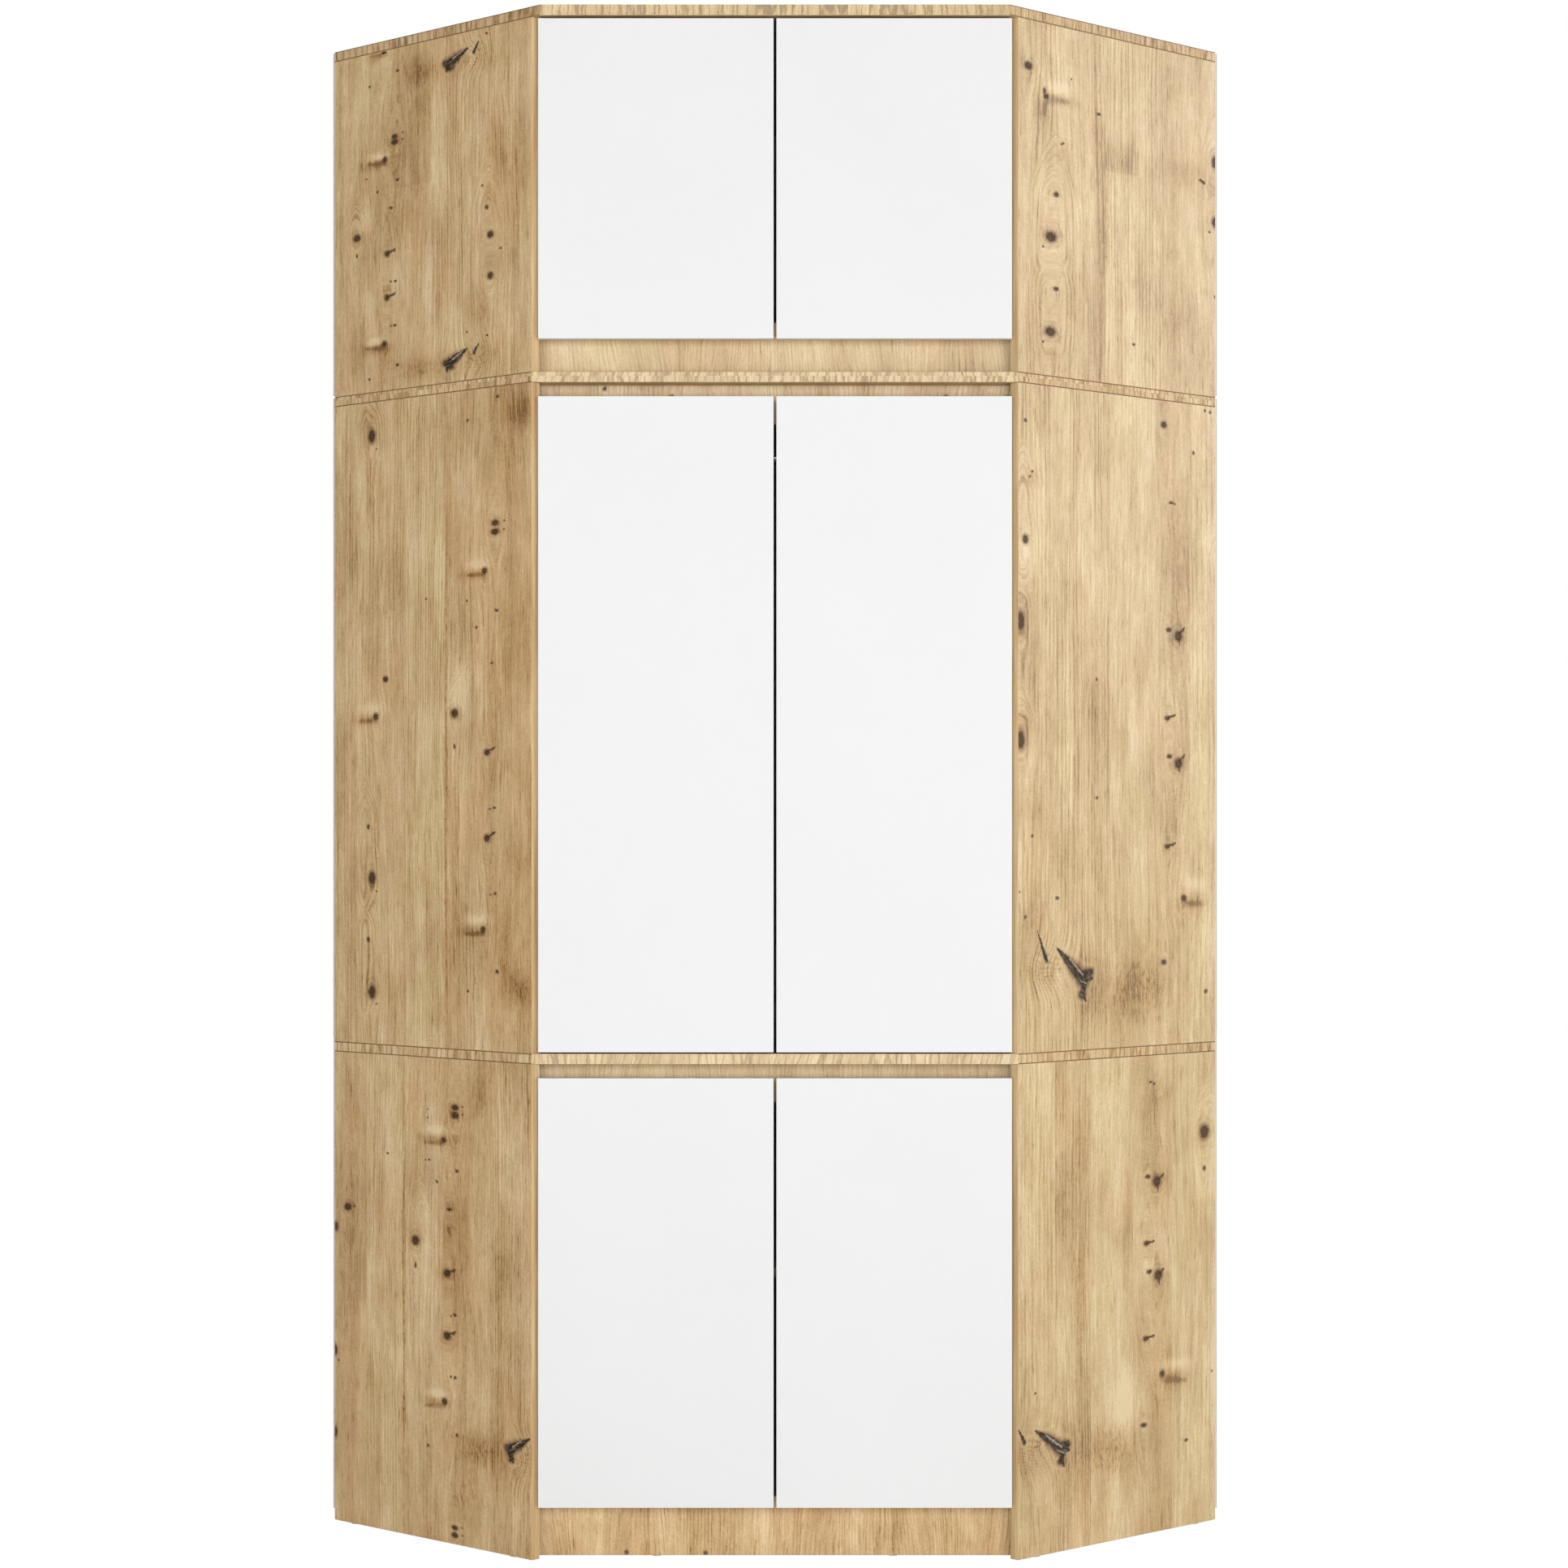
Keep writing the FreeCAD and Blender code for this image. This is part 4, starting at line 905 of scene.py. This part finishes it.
def side_panel_oak(name, panel, number):
    """The decor of one side panel: staves, arches, knots, cracks, pale patches and brown clouds, and on
    the right panels a painted sheen.
    """
    oak = Oak("oak_" + name + "_panel")
    f = oak.finish
    side = panel["side"]
    low, high = panel["heights"]
    sideways = oak.x * side - FRONT_HALF
    depth = oak.y - FRONT_LINE_Y
    back = (sideways + depth) / ROOT_TWO
    inward = (depth - sideways) / ROOT_TWO
    # The inner face carries the same print turned half round.
    inner = f.smooth(inward, 0.45 * BOARD, 0.55 * BOARD)
    across = back + inner * (SIDE_DEPTH - 2.0 * back)
    along = oak.z + inner * (low + high - 2.0 * oak.z)
    starts = stave_starts(panel)
    masks = [f.smooth(across, start - JOINT_HALF, start + JOINT_HALF) for start, stave in starts]
    stave_rank = functools.reduce(operator.add, masks)
    oak.lay(across, along, stave_rank * STAVE_LAYER + number * PANEL_LAYER, side)
    parting = [(placed(spot), *KNOT_PARTING) for spot in panel["knots"] if spot[2] >= PARTING]
    parting += [(placed(spot), *CRACK_PARTING) for spot in panel.get("comets", ())]
    oak.part_round([(oval[0], oval[1], oval[2] * reach, slim) for oval, reach, slim in parting])
    rise = oak.wavered_rise()
    ring_place = oak.across
    rings = strength = tone = ribs = 0.0
    for index, (start, stave) in enumerate(starts):
        mask = masks[index] - masks[index + 1] if index + 1 < len(starts) else masks[index]
        column, stave_tone, stave_strength, ring = stave
        rings = mask * (oak.across / (ring * RING_SWELL[side])) + rings
        strength = mask * stave_strength + strength
        tone = mask * stave_tone + tone
    for spot in panel.get("swirls", ()):
        swirl = oak.soft_spots([soft(spot)])
        rings = rings + swirl * SWIRL_RINGS
        ring_place = ring_place + swirl * SWIRL_SHIFT
        strength = strength + swirl * SWIRL_STRENGTH
        rib = f.maths("SINE", (rise + swirl * RIB_BEND) * (FULL_TURN / RIB_HEIGHT)) * 0.5 + 0.5
        ribs = rib ** 2.0 * swirl + ribs
    way, inside = eye_way(oak, rise, panel["eyes"])
    stave_tones = (tone - MEAN_TONE) * STAVE_CONTRAST + MEAN_TONE - side * SIDE_TONE + PANEL_LIFT
    oak.grow(ring_place, rings, strength, stave_tones, (way, way / EYE_RING[side], inside))
    brown = oak.soft_spots([soft(spot[:4], spot[4]) for spot in panel["brown"]])
    dashes = f.noise(oak.ragged, (300.0, 80.0, 1.0), (2.0, 2.0, 0.0), detail=2.0)
    oak.tone = oak.tone - brown * (BROWN_SHARE + f.smooth(dashes, -0.06, 0.18) * BROWN_DASHES)
    if "swirls" in panel:
        oak.tone = oak.tone - ribs * f.smooth(dashes, -0.12, 0.14) * RIB_SHARE
    for corner, other, amount in panel.get("blocks", ()):
        oak.tone = oak.tone + block_of(f, across, along, corner, other) * amount
    oak.tone = oak.tone + oak.soft_spots([soft(spot) for spot in panel["pale"]]) * PALE_SHARE
    knots = panel["knots"]
    ringed = oak.nearness([placed(spot, RINGED_SIZE) for spot in knots if spot[2] >= RINGED])
    spots = oak.nearness([placed(spot, SPOT_SIZE) for spot in knots if PARTING <= spot[2] < RINGED])
    dots = oak.nearness([placed(spot, DOT_SIZE) for spot in knots if spot[2] < PARTING])
    hooks = oak.line_nearness([placed_line(line) for line in panel["hooks"]])
    dashed = oak.line_nearness([placed_line(line) for line in panel["dashes"]], dots)
    edge_facing = (oak.facing_x * side + oak.facing_y) / ROOT_TWO
    on_edge = f.smooth(abs(edge_facing), *TURNED)
    on_face = 1.0 - on_edge
    oak.ring_knots(ringed, on_face)
    oak.tone = oak.tone - f.smooth(hooks, *HOOK_GLOW) * on_face * HOOK_SHARE
    # The front edge carries a plain straight-grained strip.
    strip_point = f.place(inward, oak.z, number * STRIP_LAYER)
    strip = f.noise(strip_point, (330.0, 5.0, 1.0), detail=3.0, roughness=0.7) * 1.5
    strip = strip + f.noise(strip_point, (60.0, 4.0, 1.0), detail=2.0) * 1.0
    oak.tone = f.blend(on_edge, oak.tone, strip + STRIP_TONE - side * STRIP_SIDE)
    colour = oak.warm(oak.colour(), (MEAN_TONE - tone) * STAVE_WARMTH)
    colour = f.tint(brown * 0.90, colour, REDDER, "MULTIPLY")
    # Painted sheen: the right panels are mixed towards a pale tint, in place of the glossy veil from the
    # light on the right.
    colour = f.tint(PAINTED_SHEEN_SHARE[side], colour, PAINTED_SHEEN_TINT)
    for nearest, fill in ((dashed, DOT_FILL), (spots, SPOT_FILL), (ringed, RINGED_FILL)):
        colour = oak.fill_knots(colour, nearest, on_face, *fill)
    if "comets" in panel:
        lines = [placed_line(line, CRACK_SWELL) for line in panel["cracks"]]
        lobes = oak.nearness([placed(spot) for spot in panel["lobes"]], oak.torn())
        cracks = oak.line_nearness(lines, lobes)
        run = tuple(end - start for start, end in zip(*lines[0][:2]))
        slivers = oak.line_nearness([placed_line(line) for line in panel["slivers"]])
        colour = oak.fill_crack(colour, cracks, on_face, run)
        colour = f.tint(f.smooth(slivers, *SLIVER_BODY) * on_face * 0.80, colour, SLIVER_GREY)
    raw = f.smooth(f.most(abs(oak.facing_z), edge_facing), *TURNED)
    colour = chipboard(oak, colour, raw)
    return oak.close(colour, OAK_SPECULAR[side])


# Upright grain starts anew at this many heights to a metre.
RAIL_STEPS = 5.0
RAIL_RINGS = 175.0
# Between these heights the plinth ends, the grip rails begin, and the upper plinth begins.
PLINTH_TOP = (0.20, 0.10)
OVER_PLINTH = (0.50, 0.60)
UNDER_UPPER_PLINTH = (1.80, 1.81)


def rail_oak():
    """Plinths, grip rails and corner posts: upright grain in many narrow bands that lean a little."""
    oak = Oak("oak_rails")
    f = oak.finish
    step = f.maths("FLOOR", oak.z * RAIL_STEPS)
    layer = step * RAIL_LAYER
    lean = f.noise(f.place(oak.x, 0.0, layer), (7.0, 0.0, 1.0), detail=1.0) * 0.8
    foot = step / RAIL_STEPS
    oak.lay(oak.x + (oak.z - foot - 0.04) * lean, oak.z, layer)
    closeness = f.noise(f.place(oak.x, 0.0, layer), (5.0, 0.0, 1.0), detail=1.0) * 16.0
    rings = oak.across * RAIL_RINGS + closeness
    side_tone = f.noise(f.place(oak.across, 0.0, layer), (20.0, 0.0, 1.0), (9.0, 0.0, 0.0), detail=3.0)
    # Painted light: the grip rails behind the finger gaps and the upper plinth are painted paler, making
    # up for the shade that falls in their recesses behind the doors; the lower plinth is a little darker.
    on_rail = f.smooth(oak.z, *OVER_PLINTH) * f.smooth(oak.z, *UNDER_UPPER_PLINTH[::-1])
    on_foot = f.smooth(oak.z, *PLINTH_TOP)
    on_top = f.smooth(oak.z, *UNDER_UPPER_PLINTH)
    oak.grow(oak.across, rings, 0.86, side_tone * 0.9 + on_rail * 0.05 - on_foot * 0.06 + 0.66)
    # Painted light: the paler tint on the recessed rails and the upper plinth.
    colour = f.tint(on_rail * 0.22 + on_top * 0.30, oak.colour(), EDGE_PALE)
    knots = oak.nearness([(*middle, *RAIL_KNOT_SIZE) for middle in RAIL_KNOTS])
    front = f.smooth(oak.facing_y, -0.5, -0.9)
    colour = oak.fill_knots(oak.warm(colour), knots, front, *RAIL_FILL)
    raw = f.smooth(abs(oak.facing_z), *TURNED)
    return oak.close(chipboard(oak, colour, raw))


# The board edges that show as bands round the wardrobe: their middle heights, and how far off those
# the dark seam over and under each begins and is full.
BAND_HEIGHTS = (0.759, 1.790, 2.342)
SEAM = (0.0061, 0.0070)
SEAM_SHARE = 0.92
# Steps to a metre of height that tell one board from the next, and growth rings to a metre.
BOARD_STEPS = 24.0
BOARD_RINGS = 150.0
EDGE_TONE = 0.715
EDGE_LINE_SHARE = 0.62


def board_oak():
    """Crown, top, dividing and floor boards: grain along X on the faces, cross stripes on the edges."""
    oak = Oak("oak_boards")
    f = oak.finish
    layer = f.maths("FLOOR", oak.z * BOARD_STEPS) * BOARD_LAYER
    oak.lay(oak.y, oak.x, layer)
    patch_point = f.vector("MULTIPLY", f.place(oak.y, oak.x, layer), (9.0, 4.0, 1.0))
    rings = oak.across * BOARD_RINGS + f.hill(f.cells(patch_point, "F1", "Distance") * 3.2) * 5.0
    oak.grow(oak.across, rings, 0.9, 0.62)
    face_tone = oak.tone
    face_relief = oak.relief
    # On the edges the rings' ends show, as short leaning stripes at uneven distances.
    on_wing = f.smooth(abs(oak.facing_x), 0.30, 0.50)
    run = oak.x * (on_wing * (ROOT_TWO - 1.0) + 1.0)
    lean = f.noise(f.place(run, 0.0, layer), (4.0, 0.0, 1.0), detail=1.0) * 1.5 + 0.06
    crown = f.smooth(oak.z, 2.0, 2.2)
    lean = lean * (1.0 - f.most(crown, on_wing) * 0.7)
    boards_up = f.maths("ROUND", (oak.z - BAND_HEIGHTS[0]) / BOARD)
    height = oak.z - boards_up * BOARD - BAND_HEIGHTS[0]
    curl = f.noise(oak.point, (90.0, 90.0, 110.0), detail=2.0) * 0.0055
    edge_run = run - height * lean + curl
    strip = f.place(edge_run, oak.z * 0.6, layer + 1.3)
    stripes = f.vector("MULTIPLY", strip, (80.0, 14.0, 1.0))
    to_edge = f.cells(stripes, "DISTANCE_TO_EDGE", "Distance")
    shade = f.vector("DOT_PRODUCT", f.cells(stripes, "F1", "Color"), GREY_WEIGHTS) - 0.5
    fine = f.noise(strip, (330.0, 50.0, 1.0), (4.0, 0.0, 0.0), detail=3.0, roughness=0.8)
    mood = f.noise(strip, (10.0, 3.0, 1.0), (6.0, 0.0, 0.0), detail=2.0)
    dark_line = f.smooth(to_edge, 0.13, 0.02) * (f.smooth(mood, -0.22, 0.10) * 0.6 + 0.4)
    dark_line = dark_line * (1.0 - on_wing * 0.15)
    shade = shade * (0.42 - on_wing * 0.16 - crown * 0.12)
    edge_tone = fine * 1.7 + mood * 0.8 + shade - on_wing * 0.01 + EDGE_TONE
    edge_tone = edge_tone - crown * 0.12 - dark_line * EDGE_LINE_SHARE
    on_edge = f.smooth(abs(oak.facing_z), 0.75, 0.55)
    oak.tone = f.blend(on_edge, face_tone, edge_tone)
    oak.relief = f.blend(on_edge, face_relief, fine * 0.6 + 0.6 - dark_line * 0.4)
    colour = oak.warm(oak.colour())
    colour = f.tint(on_edge * (1.0 - on_wing * 0.85) * 0.30, colour, EDGE_PALE)
    # A thin dark seam where each band meets the panels over and under it.
    off_middle = f.least(*[abs(oak.z - middle) for middle in BAND_HEIGHTS])
    seam = f.smooth(off_middle, *SEAM) * on_edge
    colour = f.tint(seam * on_wing * SEAM_SHARE, colour, SEAM_BROWN)
    to_wall = (abs(oak.facing_x) + oak.facing_y) / ROOT_TWO
    raw = f.smooth(to_wall, 0.80, 0.95) * f.smooth(oak.facing_y, 0.3, 0.5)
    return oak.close(chipboard(oak, colour, raw))


# Two shades of each plain finish, and where the outside of the thin backs begins, by the way towards
# the walls.
FRONT_WHITE = ((0.742, 0.742, 0.743), (0.754, 0.754, 0.755))
RAW_BROWN = ((0.210, 0.124, 0.068), (0.360, 0.232, 0.136))
PRINT_WHITE = ((0.74, 0.735, 0.72), (0.78, 0.775, 0.76))
BACK_OUTSIDE = (0.37310, 0.37330)
ZINC = ((0.30, 0.30, 0.31), (0.52, 0.52, 0.53))
BEECH = ((0.66, 0.45, 0.27), (0.45, 0.27, 0.15))
GLIDE = ((0.60, 0.59, 0.56), (0.44, 0.43, 0.41))
NICKEL = ((0.50, 0.48, 0.45), (0.66, 0.64, 0.60))
STEEL = ((0.42, 0.42, 0.43), (0.60, 0.60, 0.61))
CHROME = ((0.64, 0.64, 0.66), (0.74, 0.74, 0.76))
FLOOR_GREY = ((0.79, 0.79, 0.79), (0.81, 0.81, 0.81))
PURE_WHITE = (1.0, 1.0, 1.0, 1.0)


def white_lacquer():
    """Matt white fronts: a trace of mottle, a fine stipple and dulled roughness."""
    f = Finish("matt_white_front")
    point, normal = f.coordinates()
    mottle = f.noise(point, (5.0, 5.0, 5.0), detail=2.0)
    stipple = f.noise(point, (900.0, 900.0, 900.0), detail=1.0)
    colour = f.tint(f.smooth(mottle, -0.3, 0.3), *FRONT_WHITE)
    rough = 0.50 + mottle * 0.06
    normal = f.bump(stipple, 0.06, 0.0002)
    return f.surface(specular_ior_level=0.2, base_color=colour, roughness=rough, normal=normal)


def hardboard():
    """Thin backs: white print inside, raw brown fibres with a felt weave outside."""
    f = Finish("hardboard")
    point, normal = f.coordinates()
    x, y, z = f.parts_of(point)
    outside = f.smooth((abs(x) + y) * (1.0 / ROOT_TWO), *BACK_OUTSIDE)
    fibre = f.noise(point, (160.0, 160.0, 60.0), detail=4.0, roughness=0.7)
    weave = f.noise(point, (900.0, 900.0, 900.0), detail=1.0)
    raw = f.tint(f.smooth(fibre, -0.25, 0.25), *RAW_BROWN)
    print_tone = f.noise(point, (4.0, 4.0, 4.0), detail=2.0)
    printed = f.tint(f.smooth(print_tone, -0.3, 0.3), *PRINT_WHITE)
    colour = f.tint(outside, printed, raw)
    rough = 0.5 + outside * 0.3 + fibre * 0.1
    normal = f.bump(weave + fibre * 0.5, 0.15, 0.0004)
    return f.surface(base_color=colour, roughness=rough, normal=normal)


def plated(name, shades, roughness, scale=600.0):
    """Plated steel: brushed or tumbled shine with small dull spots."""
    f = Finish(name)
    point, normal = f.coordinates()
    brush = f.noise(point, (scale, scale, scale * 0.12), detail=2.0)
    spots = f.noise(point, (90.0, 90.0, 90.0), detail=3.0)
    shade = f.tint(f.smooth(spots + brush * 0.4, -0.25, 0.3), *shades)
    rough = roughness + spots * 0.25 + brush * 0.12
    normal = f.bump(brush, 0.10, 0.0002)
    return f.surface(base_color=shade, metallic=1.0, roughness=rough, normal=normal)


def cast_zinc():
    """Cam locks: dull die-cast zinc with a fine grainy skin."""
    f = Finish("cast_zinc")
    point, normal = f.coordinates()
    grainy = f.noise(point, (700.0, 700.0, 700.0), detail=3.0, roughness=0.7)
    shade = f.tint(f.smooth(grainy, -0.25, 0.25), *ZINC)
    normal = f.bump(grainy, 0.35, 0.0003)
    return f.surface(base_color=shade, metallic=0.9, roughness=0.5 + grainy * 0.3, normal=normal)


def beech():
    """Dowels: pale pinkish beech with short dark flecks along the pin."""
    f = Finish("beech_dowel")
    point, normal = f.coordinates()
    fleck = f.noise(point, (500.0, 500.0, 300.0), detail=2.0)
    shade = f.tint(f.smooth(fleck, 0.0, 0.25), *BEECH)
    return f.surface(base_color=shade, roughness=0.62 + fleck * 0.1, normal=f.bump(fleck, 0.2, 0.0003))


def glide_plastic():
    """Floor glides: pale moulded plastic, a little waxy, scuffed underneath."""
    f = Finish("glide_plastic")
    point, normal = f.coordinates()
    scuff = f.noise(point, (260.0, 260.0, 260.0), detail=3.0)
    shade = f.tint(f.smooth(scuff, 0.0, 0.3), *GLIDE)
    return f.surface(base_color=shade, roughness=0.44 + scuff * 0.2, normal=f.bump(scuff, 0.1, 0.0003))


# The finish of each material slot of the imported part. Oak boards take theirs by name below.
finishes = {
    "white_door": white_lacquer(),
    "hardboard_back": hardboard(),
    "hinge_nickel": plated("hinge_nickel", NICKEL, 0.26),
    "steel_fixings": plated("zinc_plated_steel", STEEL, 0.34),
    "zinc_cams": cast_zinc(),
    "rail_chrome": plated("chromed_rail", CHROME, 0.12, 300.0),
    "bracket_zinc": plated("bracket_nickel", NICKEL, 0.30),
    "nickel_pins": plated("nickel_pins", NICKEL, 0.24),
    "beech_dowel": beech(),
    "glide_plastic": glide_plastic(),
}
rails = rail_oak()
boards = board_oak()
UPRIGHT_GRAIN = ("plinth", "grip_rail", "corner_post", "rear_foot")
slot_of_node = {part["node"]: part["material_slot"] for part in frame["record"]["subparts"]}


def dress(node, material):
    """Puts a material in every slot of a node."""
    for place in frame["nodes"][node].material_slots:
        place.material = material


for node in frame["nodes"]:
    slot = slot_of_node[node]
    if slot != "oak_board":
        dress(node, finishes[slot])
    elif any(word in node for word in UPRIGHT_GRAIN):
        dress(node, rails)
    elif "_side_" not in node:
        dress(node, boards)
for number, (name, panel) in enumerate(PANELS.items()):
    row, side_name = name.split("_")
    dress(row + "_side_" + side_name, side_panel_oak(name, panel, number))


# Floor: pale and plain. To the camera it fades to the white background, and keeps a soft shadow.
FLOOR_HALF = 14.0
FLOOR_FADE = (1.2, 3.0)
FLOOR_GLOW = 1.32
SHADE_SHARE = 0.30


def pale_floor():
    """Matt grey to the light, and mostly plain white to the camera, wholly so further out."""
    f = Finish("pale_floor")
    point, normal = f.coordinates()
    x, y, z = f.parts_of(point)
    speckle = f.noise(point, (3.0, 3.0, 3.0), detail=3.0)
    colour = f.tint(f.smooth(speckle, -0.3, 0.3), *FLOOR_GREY)
    matt = f.add("ShaderNodeBsdfPrincipled", {}, {"Base Color": colour, "Roughness": 0.8})
    white = f.add("ShaderNodeEmission", {}, {"Color": PURE_WHITE, "Strength": FLOOR_GLOW})
    seen = f.add("ShaderNodeLightPath", output="Is Camera Ray")
    far = f.smooth(f.maths("SQRT", x * x + y * y), *FLOOR_FADE)
    share = seen * (far * SHADE_SHARE + (1.0 - SHADE_SHARE))
    f.show(f.add("ShaderNodeMixShader", {}, {0: share, 1: matt, 2: white}))
    return f.material


def flat_floor():
    """A square sheet in the plane z = 0, with its corners at plus and minus FLOOR_HALF."""
    corners = np.array(((-1.0, -1.0, 0.0), (1.0, -1.0, 0.0), (1.0, 1.0, 0.0), (-1.0, 1.0, 0.0)))
    mesh = bpy.data.meshes.new("floor")
    mesh.from_pydata((corners * FLOOR_HALF).tolist(), [], [(0, 1, 2, 3)])
    mesh.materials.append(pale_floor())
    floor = bpy.data.objects.new("floor", mesh)
    bpy.context.scene.collection.objects.link(floor)


flat_floor()

# Light: an even white room, a wide soft panel before the front, a high one on the right, one behind
# and a small one over the top. Each has its place, the point it faces, its width, height and watts.
ROOM_LEVEL = 0.28
LIGHT_PANELS = {
    "front_light": ((0.5, -6.9, 1.5), (0.0, -0.4, 1.15), 9.4, 2.6, 401.0),
    "side_light": ((4.4, 0.2, 2.6), (0.5, -0.3, 1.4), 1.8, 2.8, 48.0),
    "back_light": ((0.0, 6.5, 2.6), (0.0, 0.4, 1.2), 4.0, 2.4, 110.0),
    "top_light": ((0.0, 0.5, 4.6), (0.0, 0.5, 2.3), 1.2, 1.2, 24.0),
}


def white_room():
    """An even dim white world, which is full white to the camera, in mirrors and through glass."""
    world = bpy.data.worlds.new("white_room")
    world.use_nodes = True
    f = Nodes(world.node_tree, "ShaderNodeOutputWorld")
    dim = f.add("ShaderNodeBackground", {}, {"Color": PURE_WHITE, "Strength": ROOM_LEVEL})
    full = f.add("ShaderNodeBackground", {}, {"Color": PURE_WHITE, "Strength": 1.0})
    camera = f.add("ShaderNodeLightPath", output="Is Camera Ray")
    mirror = f.add("ShaderNodeLightPath", output="Is Glossy Ray")
    through = f.add("ShaderNodeLightPath", output="Is Transmission Ray")
    seen = f.most(f.most(camera, mirror), through)
    f.show(f.add("ShaderNodeMixShader", {}, {0: seen, 1: dim, 2: full}))
    bpy.context.scene.world = world


def light_panel(name, place, aim, width, height, watts):
    """A rectangular lamp that the camera doesn't see, level along its width."""
    lamp = bpy.data.lights.new(name, "AREA")
    lamp.shape = "RECTANGLE"
    lamp.size = width
    lamp.size_y = height
    lamp.energy = watts
    holder = bpy.data.objects.new(name, lamp)
    holder.location = place
    holder.visible_camera = False
    way = [a - p for a, p in zip(aim, place)]
    turn_z = math.atan2(way[1], way[0]) - math.pi / 2.0
    tilt = math.atan2(way[2], math.hypot(way[0], way[1])) + math.pi / 2.0
    holder.rotation_euler = (tilt, 0.0, turn_z)
    bpy.context.scene.collection.objects.link(holder)


white_room()
for lamp_name, lamp_settings in LIGHT_PANELS.items():
    light_panel(lamp_name, *lamp_settings)

# Camera: level, square to the diagonal front, as the photograph was taken.
lens = bpy.data.cameras.new("camera")
lens.sensor_width = SENSOR
lens.lens = SENSOR * EYE_DISTANCE / (PHOTO_WIDTH * METRE_PER_PIXEL)
lens.shift_x = (PHOTO_WIDTH / 2.0 - MIDDLE_COLUMN) / PHOTO_WIDTH
lens.shift_y = (EYE_ROW - PHOTO_WIDTH / 2.0) / PHOTO_WIDTH
camera = bpy.data.objects.new("camera", lens)
camera.location = (0.0, FRONT_LINE_Y - EYE_DISTANCE, EYE_HEIGHT)
camera.rotation_euler = (math.pi / 2.0, 0.0, 0.0)
bpy.context.scene.collection.objects.link(camera)
bpy.context.scene.camera = camera
bpy.context.scene.view_settings.view_transform = "Standard"
